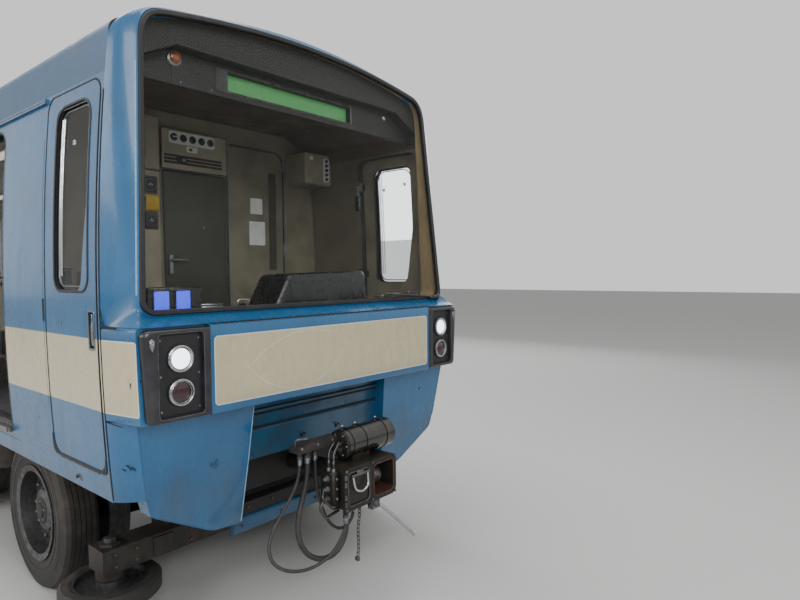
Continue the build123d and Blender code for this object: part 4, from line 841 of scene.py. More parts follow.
for side, hand in HANDS:
    # cab door: seal round the opening, drawn tight to the wall, and its heavier lower corners
    p = Piece(f"cab_door_seal_{hand}", slot="tyre_rubber")
    p.side_strip(side, oblong(7.326, 1.061, 7.934, 2.909, 0.075), 0, 0.007, 0.0015, gasket)
    for x, turn in ((7.405, -1), (7.855, 1)):
        arc = [(x + turn * 0.082 * math.sin(a), 1.14 - 0.082 * math.cos(a))
               for a in map(math.radians, steps(8, 9, 10))]
        p.side_strip(side, arc, 0, 0.016, 0.0025, gasket, False)
    p.done()

    # cab door window: outer gasket, inner metal frame lines, cross fittings near the top
    p = Piece(f"cab_door_window_frame_{hand}", f"cab_door_{hand}", "tyre_rubber")
    outline = oblong(7.452, 1.915, 7.846, 2.835, (0.075, 0.075, 0.1, 0.1))
    p.side_strip(side, outline, -0.001, 0.013, 0.004, gasket)
    p.side_strip(side, oblong(7.476, 1.94, 7.824, 2.81, (0.06, 0.06, 0.08, 0.08)), -0.022, 0.008, 0.007, steel)
    p.side_strip(side, outline, -0.012, 0.022, 0.006, black_gap)
    for x in (7.492, 7.512):
        p.tube([on_side(side, x, z, -0.016) for z in (1.99, 2.2, 2.4, 2.6, 2.78)], 0.0035, chrome, 8)
    p.tube([on_side(side, x, 2.822, -0.006) for x in (7.5, 7.6, 7.7, 7.8)], 0.004, chrome, 8)
    for x, z in ((7.56, 2.665), (7.775, 2.69)):
        q = on_side(side, x, z, -0.046)
        p.block(q, (0.012, 0.004, 0.012), white_plate, 0.002)
        p.bolts([q + side_normal(side, z) * 0.004], side_normal(side, z), 0.003, black_gap, 10)
    p.done()

    # cab door handle: sunk plate with an upright grip and a lock above it
    p = Piece(f"cab_door_handle_{hand}", f"cab_door_{hand}", "polished_steel")
    p.side_strip(side, oblong(7.843, 1.645, 7.903, 1.825, 0.008, 4), 0, 0.007, 0.0025, steel)
    p.tube([on_side(side, 7.873, z, -0.006) for z in (1.665, 1.69, 1.72, 1.75, 1.775)],
           (0.005, 0.0085, 0.0085, 0.0085, 0.005), steel, 12)
    p.turned(on_side(side, 7.873, 1.803, -0.006), side_normal(side, 1.803),
             ((-0.004, 0.009), (0.004, 0.009), (0.005, 0.007)), chrome, 20)
    p.block(on_side(side, 7.873, 1.803, -0.0005), (0.0015, 0.0012, 0.005), black_gap, 0.0004)
    p.done()

    # seams, slot, skirt notch and rain strip on the body
    p = Piece(f"side_seams_{hand}", slot="tyre_rubber")
    p.side_strip(side, [(SEAM_X, z) for z in steps(0.94, 0.1, 20)], 0, 0.009, 0.0012, black_gap, False)
    p.side_strip(side, [(7.3, z) for z in steps(1.3, 0.1, 15)], 0, 0.002, 0.0005, black_gap, False)
    p.side_strip(side, oblong(7.292, 1.755, 7.308, 1.872, 0.004, 4), 0, 0.004, 0.002, gasket)
    p.strip([on_side(side, 7.3, z) for z in (1.76, 1.8, 1.84, 1.867)], side_normal(side, 1.8), 0.012, 0.0008, black_gap,
            closed=False)
    notch = [(7.6 + 0.036 * math.cos(a), 0.962 + 0.03 * math.sin(a)) for a in steps(0, math.pi / 14, 15)]
    p.side_strip(side, notch, 0, 0.006, 0.003, wear_and_highlight_edge, False)
    line = [on_side(side, 7.6 + 0.03 * math.cos(a), 0.962 + 0.026 * math.sin(a), 0.0006) for a in turns(24)
            if math.sin(a) > -0.1]
    p.add([*line, sum(line, Vector()) / len(line)], [(i, i + 1, len(line)) for i in range(len(line) - 1)], black_gap)
    for z in (1.022, 2.922):
        p.side_strip(side, [(x, z) for x in steps(-8.2, 0.6, 26)], 0, 0.003, 0.0006, black_gap, False)
    p.done()

    # painted highlight: a pale line along the rain strip
    p = Piece(f"rain_strip_edge_{hand}", slot="polished_steel")
    p.tube([on_side(side, x, 2.905, 0.0135) for x in steps(-8.2, 0.5, 32)], 0.0035, wear_and_highlight_edge, 8)
    p.done()

    # doorways: metal edge trim, ribbed sill with fixing screws, top lamp cover
    p = Piece(f"doorway_trim_{hand}", slot="polished_steel")
    for d in DOORS:
        p.side_strip(side, oblong(d - 0.645, 1.096, d + 0.645, 2.855, (0.004, 0.004, 0.11, 0.11)), 0, 0.01, 0.0018,
                     dull_steel)
        for x in steps(d - 0.61, 1.22 / 29, 30):
            p.block((x, side * 1.18, 1.0955), (0.006, 0.055, 0.002), steel, 0.0015)
        p.bolts([on_side(side, x, 1.075, 0.008) for x in steps(d - 0.6, 0.24, 6)], side_normal(side, 1.075), 0.005,
                chrome, 10)
        p.box((d - 0.6, side * 0.9, 2.985), (d + 0.6, side * 1.02, 3.012), white_plate, 0.006)
    p.done()

    # saloon windows: gasket, inner frame and a hopper bar
    p = Piece(f"saloon_window_gaskets_{hand}", slot="tyre_rubber")
    for w in WINDOWS:
        p.side_strip(side, oblong(w - 0.645, 1.88, w + 0.645, 2.72, 0.09), 0, 0.02, 0.004, gasket)
        p.side_strip(side, oblong(w - 0.63, 1.895, w + 0.63, 2.705, 0.08), -0.095, 0.04, 0.006, steel, inward=True)
        p.side_strip(side, [(x, 2.46) for x in steps(w - 0.64, 0.16, 9)], -0.018, 0.022, 0.007, steel, False)
    p.done()

# sliding leaves: nosing rubber, window gaskets, finger pull, inner kick plate
for node in nodes.keys():
    if not node.startswith("door_"):
        continue
    side = RIGHT if "right" in node else LEFT
    x0, x1 = (end[0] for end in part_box(node))
    middle = (x0 + x1) / 2
    nose, into = (x0, 1) if node.endswith("front") else (x1, -1)
    p = Piece(node + "_trim", node, "tyre_rubber")
    p.side_strip(side, [(nose + into * 0.01, z) for z in steps(1.12, 0.13, 14)], -0.03, 0.018, 0.0015, gasket, False)
    outline = oblong(middle - 0.18, 1.9, middle + 0.18, 2.74, 0.07)
    p.side_strip(side, outline, -0.0305, 0.018, 0.003, gasket)
    p.side_strip(side, outline, -0.0642, 0.026, 0.004, steel, inward=True)
    p.side_strip(side, [(middle + dx, 1.3) for dx in (-0.29, -0.15, 0.0, 0.15, 0.29)], -0.0645, 0.3, 0.0016,
                 dull_steel, False, True)
    x = nose + into * 0.075
    p.side_strip(side, oblong(x - 0.012, 1.7, x + 0.012, 1.86, 0.01, 5), -0.0305, 0.006, 0.0025, steel)
    p.done()

# ---------------- front shell

LEDGE_Z, BAND_Z0 = 1.7585, 1.318
FOOT_Z = 1.806           # lower edge of the windscreen's gasket
MASK_LEAN = 0.0747
TAPER = 0.047            # how far each side of the band draws in before its corner
POD_OUT = 1.197          # outer edge of a lamp pod beside the centre line
MASK_X = SEAM_X + 0.001
SHOULDER_Z = 3.095       # where the windscreen's side turns into its crown
TOP_Z, TOP_Y = 3.085, 1.103    # the same for the mask's outer edge, and the end of its shoulder


def screen_x(z, proud=0.0):
    """X of the windscreen's plane at height z."""
    return 8.135 - MASK_LEAN * (z - 1.8) + proud


def mask_arch(y):
    """Height of the mask's crown beside the centre line."""
    return 3.375 - 0.21 * (y / 1.1734) ** 2


def half_screen(inset=0.0):
    """Left half of the windscreen's edge, (y, z) from bottom centre to top centre."""
    foot, r = FOOT_Z + inset, 0.06

    def side_y(z):
        return 1.15 - inset - 0.058 * (z - FOOT_Z)

    def arch_z(y):
        return 3.345 - inset - 0.11 * (y / (1.085 - inset)) ** 2

    low = [(side_y(foot) * k / 12 * 0.945, foot) for k in range(12)]
    corner = [(side_y(foot + r) - r + r * math.sin(a), foot + r - r * math.cos(a))
              for a in [math.radians(90 * k / 9) for k in range(10)]]
    upright = [(side_y(z), z) for z in [foot + r + (SHOULDER_Z - foot - r) * k / 16 for k in range(1, 17)]]
    start = side_y(SHOULDER_Z)
    end = start - 0.125
    knee = (side_y(3.2) - 0.001, arch_z(start) + 0.004)
    shoulder = [curve((start, SHOULDER_Z), knee, (end, arch_z(end)), k / 9) for k in range(1, 10)]
    return low + corner + upright + shoulder + [(end * (1 - k / 14), arch_z(end * (1 - k / 14))) for k in range(1, 15)]


def plan_corner(z, inset=0.0, count=10):
    """The band's plan from its front round one corner to the body joint, (x, y) with y positive."""
    w, front = wall_y(z) - inset, BAND_X - inset
    start, knee, end = (front, w - TAPER - 0.034), (front, w - TAPER - 0.004), (front - 0.028, w - TAPER + 0.001)
    return ([curve(start, knee, end, k / (count - 4)) for k in range(count - 3)]
            + [(end[0] + (MASK_X - end[0]) * t, end[1] + (w - end[1]) * t) for t in (0.35, 0.7, 1.0)])


def half_outer():
    """Outer edge of the mask, matched point by point with half_screen: ledge, corner, then the body joint."""
    corner = plan_corner(LEDGE_Z, 0.012)
    out = [(corner[0][0], corner[0][1] * k / 12, LEDGE_Z) for k in range(12)]
    out += [(x, y, LEDGE_Z) for x, y in corner]
    out += [(MASK_X, wall_y(z), z) for z in [LEDGE_Z + (TOP_Z - LEDGE_Z) * k / 16 for k in range(1, 17)]]
    ends = (wall_y(TOP_Z), TOP_Z), (wall_y(3.165), 3.163), (TOP_Y, mask_arch(TOP_Y))
    out += [(MASK_X, *curve(*ends, k / 9)) for k in range(1, 10)]
    return out + [(MASK_X, y, mask_arch(y)) for y in [TOP_Y * (1 - k / 14) for k in range(1, 15)]]


def whole(half):
    """Closed loop from a left half: mirrored over the centre line."""
    return [Vector((x, -y, z)) for x, y, z in half] + [Vector(q) for q in half[-2:0:-1]]


def on_screen(inset, proud):
    """Loop in the windscreen's plane, that far inside its edge and proud of it."""
    return whole([(screen_x(z, proud), y, z) for y, z in half_screen(inset)])


outer, lip = whole(half_outer()), on_screen(-0.01, -0.004)
rows = [outer]
for t in (0.2, 0.4, 0.6, 0.8, 0.93):
    row = []
    for i, (a, b) in enumerate(zip(outer, lip)):
        q = a.lerp(b, t)
        k = min(i, len(outer) - i)
        swell = 0.0 if k < 12 else min(1.0, (k - 12) / 9)
        away = Vector((0.55, q.y / 1.2, (q.z - 2.5) / 0.9)).normalized()
        row.append(q + away * (0.013 * swell * 4 * t * (1 - t)))
    rows.append(row)
p = Piece("front_mask_shell", slot="body_paint")
p.sheet(rows + [lip, on_screen(-0.004, 0.0015), on_screen(0.003, -0.004)], blue_plain)
back = whole([(MASK_X, min(y, wall_y(min(z, 3.1), 0.088)), z) for y, z in half_screen(0.012)])
p.sheet([on_screen(0.003, -0.004), on_screen(0.003, -0.03), back], reveal_tan)
p.done(replaces=("front_mask",))

p = Piece("windscreen_pane", slot="clear_glass")
p.slab(on_screen(0.012, -0.014), (0.008, 0, 0), clear_pane)
p.done(angle=20)
p = Piece("windscreen_gasket", slot="tyre_rubber")
p.strip(on_screen(0.011, -0.004), Vector((1, 0, MASK_LEAN)), 0.026, 0.012, gasket, sink=0.018)
p.done(replaces=("windscreen",))

# band: one block in plan, its sides drawn in towards the front, edges eased above and below
p = Piece("front_band_shell", slot="body_paint")
low_z, deep = BAND_Z0 + 0.008, BAND_X - 0.036
levels = [(BAND_Z0, 0.007), (BAND_Z0 + 0.003, 0.002), (low_z, 0.0)]
levels += [(low_z + (1.742 - low_z) * k / 8, 0.0) for k in range(1, 9)]
rows = []
for z, inset in levels + [(1.75, 0.003), (1.7555, 0.008), (1.7575, 0.014)]:
    half = [(BAND_X - inset, 0.861 * k / 11) for k in range(12)] + [(deep, 0.8615), (deep, 1.15)]
    half += [(min(x, deep), y) for x, y in plan_corner(z, inset, 12)]
    rows.append([Vector((x, -y, z)) for x, y in half] + [Vector((x, y, z)) for x, y in half[:0:-1]])
n = len(rows[0])
p.sheet(rows, [blue_side_panel if 18 <= i <= n - 19 else blue_front for i in range(n)])
p.cap(rows[-1], blue_plain)
p.cap(rows[0], grime_black)
p.done(replaces=("front_band",))


def pod_ring(side, x, out, inn, rise, r_out):
    """Outline of a lamp pod at one depth: drawn in by out, inn and rise from its full size."""
    y0, z0, z1, low_y = 0.86 + inn, 1.322 + rise, 1.746 - rise, POD_OUT - 0.02 - out
    corners = [(y0, z0), (low_y, z0), (POD_OUT + 0.003 - out, z1), (y0, z1)]
    return at_x(x, rounded(corners, (0.006, r_out, r_out, 0.006), 7, 9), side)


def face_ring(side, x, grow):
    """Outline of the pod's sunk face."""
    return at_x(x, oblong(0.9 - grow, 1.342 - grow, 1.1265 + grow, 1.726 + grow, 0.018 + grow, 7, 9), side)


# lamp pods: bezel with a big outer edge round a sunk face
p = Piece("lamp_pod_shells", slot="pod_black")
for side in (RIGHT, LEFT):
    rows = [pod_ring(side, *sizes) for sizes in (
        (8.2, 0, 0, 0, 0.03), (8.222, 0, 0, 0, 0.03), (8.234, 0.005, 0.001, 0.001, 0.03),
        (8.241, 0.014, 0.002, 0.003, 0.03), (8.2445, 0.026, 0.005, 0.007, 0.026), (8.246, 0.04, 0.009, 0.012, 0.022))]
    rows += [face_ring(side, *sizes) for sizes in ((8.246, 0.004), (8.2445, 0.001), (8.2425, 0.0), (8.224, -0.002))]
    p.sheet(rows, pod_black)
    p.cap(rows[-1], pod_face)
p.done(replaces=("lamp_pods",))

# corner panels between the body side and the apron's wings
p = Piece("apron_corner_panels", slot="body_paint")
for side in (RIGHT, LEFT):
    rows = []
    for z in [1.3165 - 0.3825 * k / 8 for k in range(9)]:
        w, wing_y = wall_y(z) - 0.001, 1.175 - 0.052 * (BAND_Z0 - z) / 0.358
        x0, x1 = SEAM_X + 0.002, 8.122 - 0.08 * (BAND_Z0 - z) / 0.673
        row = [Vector((x0 + (x1 - x0) * t, side * (w + (wing_y - w) * t ** 1.5), z))
               for t in (0, 0.2, 0.4, 0.6, 0.8, 0.92, 1.0)]
        rows.append(row + [q - Vector((0.002, side * 0.006, 0)) for q in reversed(row)])
    p.rings(rows, blue_plain)
p.done(angle=50)

# ---------------- front details

p = Piece("front_seams", slot="tyre_rubber")
# shadow gap under the mask's ledge and round the band's top
p.strip([Vector((8.2385, y, LEDGE_Z)) for y in steps(-0.86, 0.215, 9)], AHEAD, 0.007, 0.001, black_gap, closed=False)
for side in (RIGHT, LEFT):
    p.side_strip(side, [(x, LEDGE_Z) for x in steps(SEAM_X + 0.005, 0.05, 4)], 0, 0.01, 0.001, black_gap, False)
    p.side_strip(side, [(x, 1.317) for x in steps(SEAM_X + 0.01, 0.05, 4)], 0, 0.004, 0.0008, black_gap, False)
p.done()

# lamp pods: raised rim line, screws, hook, lamp rings
for side, hand in HANDS:
    p = Piece(f"lamp_pod_trim_{hand}", slot="pod_black")
    p.strip(at_x(8.2455, oblong(0.898, 1.34, 1.1285, 1.728, 0.02, 7), side), AHEAD, 0.0022, 0.0008, wear_and_highlight_edge)
    p.strip(at_x(8.224, oblong(0.907, 1.35, 1.119, 1.718, 0.012, 7), side), AHEAD, 0.002, 0.0006, black_gap)
    for y in (0.916, 1.108):
        for z in (1.372, 1.532, 1.696):
            p.turned((8.224, side * y, z), AHEAD, ((0, 0.0048), (0.0015, 0.0048), (0.0022, 0.003)), steel, 12)
            p.turned((8.2262, side * y, z), AHEAD, ((-0.0003, 0.0016), (0.0001, 0.0016)), black_gap, 6)
    for z in (LAMP_Z, TAIL_Z):
        p.ring((8.2243, side * LAMP_Y, z), AHEAD, 0.0605, 0.0665, 0.006, gasket)
        p.ring((8.2385, side * LAMP_Y, z), AHEAD, 0.0555, 0.0615, 0.0035, chrome)
        p.ring((8.232, side * LAMP_Y, z), AHEAD, 0.0475, 0.0525, 0.004, steel)
        p.bolts(around((8.2415, side * LAMP_Y, z), 0, 0.057, 8), AHEAD, 0.0014, black_gap, 8)
    # hook: a plate that is rounded above and pointed below, with an eye
    hook = [(1.144, 1.7), (1.148, 1.706), (1.156, 1.708), (1.164, 1.706), (1.168, 1.7), (1.167, 1.676),
            (1.156, 1.65), (1.146, 1.676)]
    p.slab(at_x(8.244, hook, side), (0.004, 0, 0), chrome, 0.001)
    p.ring((8.2475, side * 1.156, 1.69), AHEAD, 0.0035, 0.0085, 0.0022, chrome, 20)
    p.turned((8.2477, side * 1.156, 1.69), AHEAD, ((-0.001, 0.0034), (0.0004, 0.0034)), black_gap, 16)
    p.done()

# lamp glasses: fluted inner lenses ahead of the lit discs
p = Piece("headlamp_lenses", slot="lamp_glass")
for side in (RIGHT, LEFT):
    for r in steps(0.008, 0.009, 5):
        for z, look in ((LAMP_Z, lamp_white), (TAIL_Z, lamp_red)):
            p.ring((8.2296, side * LAMP_Y, z), AHEAD, r, r + 0.003, 0.0012, look, 32)
p.done()

# apron: joints, bolt rows and the brackets over the coupler opening
p = Piece("apron_fittings", slot="running_gear_steel")


def wing_x(z):
    return 8.12 - 0.08 * (BAND_Z0 - z) / (BAND_Z0 - 0.645)


for side in (RIGHT, LEFT):
    wing = [(1.172, 1.318), (1.12, 0.96), (1.088, 0.845), (0.75, 0.662), (0.57, 0.645)]
    p.tube(bend([(wing_x(z) - 0.001, side * y, z) for y, z in wing], 0.03), 0.0035, blue_plain, 8)
    # painted highlight: the right wing's inner edge is pale, the left one plain blue
    p.tube([(wing_x(z), side * y, z) for y, z in ((0.528, 1.31), (0.545, 1.0), (0.572, 0.655))], 0.003,
           blue_painted_highlight if side == RIGHT else blue_plain, 8)
for y in (-0.46, -0.1, 0.26, 0.46):
    p.bolts([(8.0165, y, 1.16), (7.9995, y, 0.985)], AHEAD, 0.008, blue_grime_and_shade)
for y, z in ((-0.105, 1.016), (0.18, 1.019)):
    p.bolts([(8.003, y, z)], AHEAD, 0.01, grime_black)
    eye_bolt = ((8.004, -0.012, 0.018), (8.03, -0.012, 0.014), (8.03, 0.012, 0.014), (8.004, 0.012, 0.018))
    p.tube(bend([(x, y + dy, z + dz) for x, dy, dz in eye_bolt], 0.008), 0.004, grime_black, 8)
p.box((8.012, -0.535, 1.124), (8.0245, 0.535, 1.1415), black_gap, 0.001)
p.tube([(8.027, -0.53, 1.124), (8.027, 0.53, 1.124)], 0.0035, blue_grime_and_shade, 8)
p.tube([(8.038, -0.53, 1.235), (8.038, 0.53, 1.235)], 0.012, blue_grime_and_shade, 10)
p.box((8.03, -0.53, 1.212), (8.0395, 0.53, 1.222), black_gap, 0.001)
# scuffs on the wing and the corner
for x, y, z, d in ((8.0925, -0.775, 1.012, 0.034), (8.0921, -0.762, 1.0, 0.022), (8.0928, -0.785, 1.022, 0.012)):
    p.tube([(x, y, z), (x, y + d * 0.5, z + d * 0.35), (x, y + d, z + d)], 0.0014, black_gap, 6)
for x, z, d in ((8.045, 1.118, 0.03), (8.062, 1.106, 0.018), (8.03, 1.098, 0.012)):
    y = -(wall_y(z) - 0.001 + (1.143 - wall_y(z)) * ((x - 7.967) / 0.131) ** 1.5)
    p.tube([(x, y - 0.0005, z), (x + d * 0.4, y + 0.003, z - d * 0.2), (x + d, y + 0.01, z - d * 0.7)], 0.0025,
           black_gap, 6)
p.bolts([(8.004, y, 0.606) for y in (-0.54, -0.27, 0.0, 0.27, 0.54)], AHEAD, 0.009, dull_steel)
p.done()

# windscreen: a pale line of painted highlight beside the gasket, with a brighter painted glint in one place
p = Piece("mask_edge_highlights", slot="body_paint")
for side in (RIGHT, LEFT):
    line = [Vector((screen_x(z, -0.0065), side * (1.1635 - 0.058 * (z - FOOT_Z)), z)) for z in steps(1.9, 0.06, 19)]
    n = Vector((0.8, side * 0.6, 0.05)).normalized()
    p.strip(line, n, 0.0075, 0.0016, blue_painted_highlight, closed=False)
    # painted glint: a short bright strip on the highlight line
    p.strip(line[5:9], n, 0.004, 0.0026, chrome, closed=False)
p.done()

# wiper: spindle boss, sprung arm and a blade with its rubber
p = Piece("wiper_detail", slot="polished_steel")
spindle, far = Vector((8.15, 1.085, 1.818)), Vector((8.15, 0.47, 1.862))
p.turned(spindle - AHEAD * 0.012, AHEAD, ((0, 0.022), (0.016, 0.022), (0.022, 0.016), (0.026, 0.016), (0.028, 0.011)),
         gloss_black, 28)
arm = [spindle + (far - spindle) * t + AHEAD * 0.012 * math.sin(math.pi * t) for t in [k / 12 for k in range(13)]]
p.tube(arm, [0.007 - 0.003 * k / 12 for k in range(13)], gloss_black, 10)
p.box(spindle + Vector((0, -0.1, -0.01)), spindle + Vector((0.014, 0.012, 0.012)), gloss_black, 0.004)
blade = [Vector((screen_x(1.84, 0.01), 0.424 + 0.0673 * k, 1.842 + 0.004 * k)) for k in range(8)]
p.tube(blade, 0.0045, gloss_black, 8)
p.strip([q - AHEAD * 0.006 for q in blade], Vector((1, 0, 0.07)), 0.008, 0.004, gasket, closed=False)
for k in (1, 3, 5):
    p.block(blade[k], (0.004, 0.008, 0.008), steel, 0.002)
p.done(replaces=("wiper",))

# cab doors: thick seal round the foot of each door and a pale strip under it
for side, hand in HANDS:
    p = Piece(f"cab_door_foot_seal_{hand}", slot="tyre_rubber")
    foot = bend([(7.322, 1.16, 0), (7.322, 1.058, 0), (7.935, 1.058, 0), (7.935, 1.13, 0)], 0.055, 9)
    p.side_strip(side, [q.xy for q in foot], 0.0005, 0.013, 0.004, gasket, False)
    p.side_strip(side, [(x, 1.0455) for x in steps(7.4, 0.05, 10)], 0.0005, 0.007, 0.003, wear_and_highlight_edge, False)
    p.done()

# ---------------- cab interior

WALL_X, CUPBOARD_X, PANEL_X = 6.7405, 6.8045, 6.9985     # faces of the bulkhead, its cupboard and the left one
SOCKET_Y, STOOL_X, LEVER_Y = -0.389, 7.23, 0.62
SIGNAL = (-0.814, 3.099)     # Y and Z of the amber lamp


def plate(p, x, y0, z0, y1, z1, thick, look, radius=0.004, edge=0.0008):
    """Thin plate with rounded corners on a face that looks ahead."""
    p.slab(at_x(x, oblong(y0, z0, y1, z1, radius, 5)), (thick, 0, 0), look, edge)


def knob(p, place, r, cap=None):
    """Round rotary switch: dark collar, body and a raised grip."""
    p.turned(place, AHEAD, ((0, r), (0.003, r), (0.004, r * 0.86)), console_black, 24)
    p.turned(place, AHEAD, ((0.003, r * 0.74), (0.012, r * 0.7), (0.014, r * 0.6)), console_black, 24)
    grip, side = Vector(place) + AHEAD * 0.016, ACROSS * r * -0.55
    p.tube([grip - side, grip + side], r * 0.16, cap or white_plate, 8)


p = Piece("cab_cupboards", slot="cab_grey")
# cupboard over the door: fascia, pale strip with five rotary switches, blank label, vents
plate(p, 6.8005, -0.304, 2.738, 0.227, 3.024, 0.003, console_black, 0.006)
plate(p, 6.8015, -0.298, 2.744, 0.221, 3.018, 0.004, cab_fascia, 0.006)
plate(p, CUPBOARD_X, -0.246, 2.922, 0.12, 3.008, 0.003, white_plate, 0.02)
for k in range(5):
    knob(p, (6.8075, -0.208 + 0.073 * k, 2.966), 0.027, gloss_black if k else white_plate)
plate(p, CUPBOARD_X, -0.11, 2.874, -0.024, 2.914, 0.002, white_plate, 0.003)
plate(p, CUPBOARD_X, -0.092, 2.884, -0.064, 2.904, 0.003, cab_dark_paint_and_shade, 0.002)
for z in (2.788, 2.812, 2.836):
    plate(p, CUPBOARD_X, -0.285, z - 0.009, 0.18, z + 0.009, 0.0015, cab_dark_paint_and_shade, 0.004)
    for y in steps(-0.279, 0.0243, 19):
        p.box((6.805, y, z - 0.0045), (6.8066, y + 0.017, z + 0.0045), black_gap, 0.0006)
p.box((6.803, -0.19, 2.792), (6.812, -0.11, 2.834), console_black, 0.003)
p.turned((6.8085, -0.135, 2.813), AHEAD, ((0, 0.014), (0.006, 0.013), (0.008, 0.009)), steel, 16)
# narrow pale panel at its right with a row of studs
p.box((6.742, -0.457, 2.722), (6.8, -0.312, 3.085), cab_fascia, 0.006)
for k in range(13):
    p.bolts([(6.8, -0.434, 2.745 + 0.0255 * k)], AHEAD, 0.0055, console_black, 10)
    p.bolts([(6.8, -0.33, 2.745 + 0.102 * (k // 4))], AHEAD, 0.003, steel, 10)
# tower with two square sockets and a yellow box between them
p.box((6.742, -0.463, 1.785), (6.796, -0.316, 2.714), cab_fascia, 0.005)
for z in (2.612, 2.368):
    plate(p, 6.796, -0.446, z - 0.062, -0.332, z + 0.062, 0.004, cab_ceiling, 0.006)
    plate(p, 6.8, -0.432, z - 0.046, -0.346, z + 0.046, 0.01, console_black, 0.006, 0.003)
    p.ring((6.81, SOCKET_Y, z), AHEAD, 0.018, 0.031, 0.004, gasket, 24)
    p.bolts([(6.8, SOCKET_Y + dy, z + dz) for dy in (-0.05, 0.05) for dz in (-0.054, 0.054)], AHEAD, 0.004, steel, 8)
    for dy, dz in ((-0.009, 0), (0.009, 0.0), (0, 0.01)):
        p.turned((6.811, SOCKET_Y + dy, z + dz), AHEAD, ((0, 0.0035), (0.002, 0.003)), chrome, 8)
p.box((6.796, -0.446, 2.437), (6.822, -0.334, 2.538), yellow_plate, 0.005)
p.box((6.822, -0.44, 2.446), (6.825, -0.43, 2.53), console_black, 0.001)
p.ring((6.822, -0.385, 2.487), AHEAD, 0.018, 0.026, 0.003, yellow_plate, 24)
# door under the cupboard, with its shadow painted into its dark colour, a black edge and a handle
plate(p, WALL_X, -0.258, 1.06, 0.236, 2.73, 0.006, cab_dark_paint_and_shade, 0.012)
p.strip(at_x(6.7465, oblong(-0.262, 1.056, 0.24, 2.734, 0.016, 6)), AHEAD, 0.012, 0.002, gasket)
p.box((6.747, -0.235, 2.0), (6.76, -0.205, 2.14), steel, 0.004)
p.tube(bend([(6.755, -0.22, 2.1), (6.79, -0.22, 2.1), (6.79, -0.11, 2.1)], 0.015), 0.008, steel, 10)
p.turned((6.747, 0.05, 2.345), AHEAD, ((0, 0.008), (0.004, 0.008)), steel, 12)
# second door: round-cornered edge with a bright bead, a narrow dark strip and two blank plates
frame_line = at_x(WALL_X, oblong(0.262, 1.06, 0.812, 3.0, (0.02, 0.02, 0.11, 0.03)))
p.strip(frame_line, AHEAD, 0.016, 0.003, console_black)
p.strip([q + ACROSS * (-0.012 if q.y > 0.5 else 0.012) for q in frame_line], AHEAD, 0.004, 0.004, steel)
plate(p, WALL_X, 0.662, 2.028, 0.735, 2.826, 0.004, cab_dark_paint_and_shade, 0.01)
for y0, z0, y1, z1 in ((0.478, 2.479, 0.596, 2.607), (0.463, 2.228, 0.62, 2.421)):
    plate(p, WALL_X, y0 - 0.004, z0 - 0.004, y1 + 0.004, z1 + 0.004, 0.0015, console_black, 0.01, 0.0004)
    plate(p, WALL_X, y0, z0, y1, z1, 0.0028, white_plate, 0.008, 0.0006)
for z in (1.35, 2.2, 2.9):
    p.box((WALL_X, 0.806, z - 0.05), (6.755, 0.826, z + 0.05), steel, 0.004)
# cupboard on the left, with an upright strip of switches on its front
p.box((6.742, 0.842, 2.742), (6.998, 1.135, 2.992), cab_fascia, 0.008)
plate(p, PANEL_X, 0.858, 2.758, 1.12, 2.976, 0.003, cab_fascia, 0.012)
plate(p, PANEL_X, 0.885, 2.935, 0.925, 2.965, 0.005, white_plate, 0.003)
plate(p, PANEL_X, 1.036, 2.768, 1.104, 2.968, 0.006, white_plate, 0.024)
for z in steps(2.792, 0.038, 5):
    knob(p, (7.0045, 1.07, z), 0.015, gloss_black)
# bracket and mirror rod by the left wall, wall switches
p.tube(bend([(7.25, 1.15, 2.72), (7.25, 1.085, 2.72), (7.36, 1.085, 2.7), (7.36, 1.085, 2.6)], 0.02), 0.007,
       steel, 10)
p.box((7.335, 1.07, 2.5), (7.385, 1.098, 2.62), console_black, 0.006)
for y in (-0.62, -0.72, -0.82):
    knob(p, (6.79, y, 1.96), 0.018)
plate(p, WALL_X, -0.86, 1.9, -0.56, 2.02, 0.003, cab_ceiling, 0.01)
p.done(angle=32)

# round-edged black cowl over the desk's binnacle
p = Piece("binnacle_cowl", slot="desk_black")
dome = rounded([(-0.312, 1.69), (-0.143, 1.992), (0.527, 2.012), (0.568, 1.69)], (0.005, 0.075, 0.055, 0.005))
p.rings([[(x, 0.12 + (y - 0.12) * (1 - draw / 0.42), 1.69 + (z - 1.69) * (1 - draw / 0.3)) for y, z in dome]
         for x, draw in ((7.694, 0), (7.937, 0), (7.946, 0.003), (7.954, 0.011), (7.959, 0.024), (7.961, 0.042))],
        cowl_black)
p.done(angle=50)

# black fascia round the blind, as wide as the cab and up into its arch
p = Piece("cab_header_fascia", slot="desk_black")
top = [(y, mask_arch(y) - 0.075) for y in steps(1.03, -0.103, 21)] + [(-1.03, 3.137), (1.03, 3.137)]
p.slab(at_x(7.866, top), (0.021, 0, 0), header_black)
# black soffit between the fascia and the mask
p.box((7.886, -0.846, 3.1415), (7.966, 0.846, 3.149), header_black, 0.001)
for side in (RIGHT, LEFT):
    wing = [(0.822, 2.962), (1.13, 2.962), (1.105, 3.085), (1.05, 3.125), (0.822, 3.15)]
    p.slab(at_x(7.866, wing, side), (0.021, 0, 0), header_black)
    p.slab(at_x(7.886, [(0.842, 3.1415), (1.104, 3.008), (1.118, 3.014), (0.848, 3.149)], side), (0.08, 0, 0),
           header_black)
    p.box((7.87, side * 1.09, 2.955), (7.966, side * 1.134, 3.016), header_black, 0.001)
p.tube([(7.892, y, 2.966) for y in steps(-1.125, 0.25, 10)], 0.006, header_black, 8)
p.strip(at_x(7.8905, oblong(-0.568, 2.996, 0.468, 3.114, 0.008, 5)), AHEAD, 0.01, 0.004, gloss_black)
p.box((7.8895, -0.56, 3.0), (7.8925, -0.498, 3.11), gloss_black, 0.002)
p.bolts([(7.8875, y, 2.985) for y in (-1.06, -0.78, -0.6, 0.5, 0.7, 1.02)], AHEAD, 0.005, steel, 8)
p.turned((7.888, *SIGNAL), AHEAD, ((0, 0.04), (0.006, 0.04), (0.01, 0.034), (0.011, 0.031)), steel, 32)
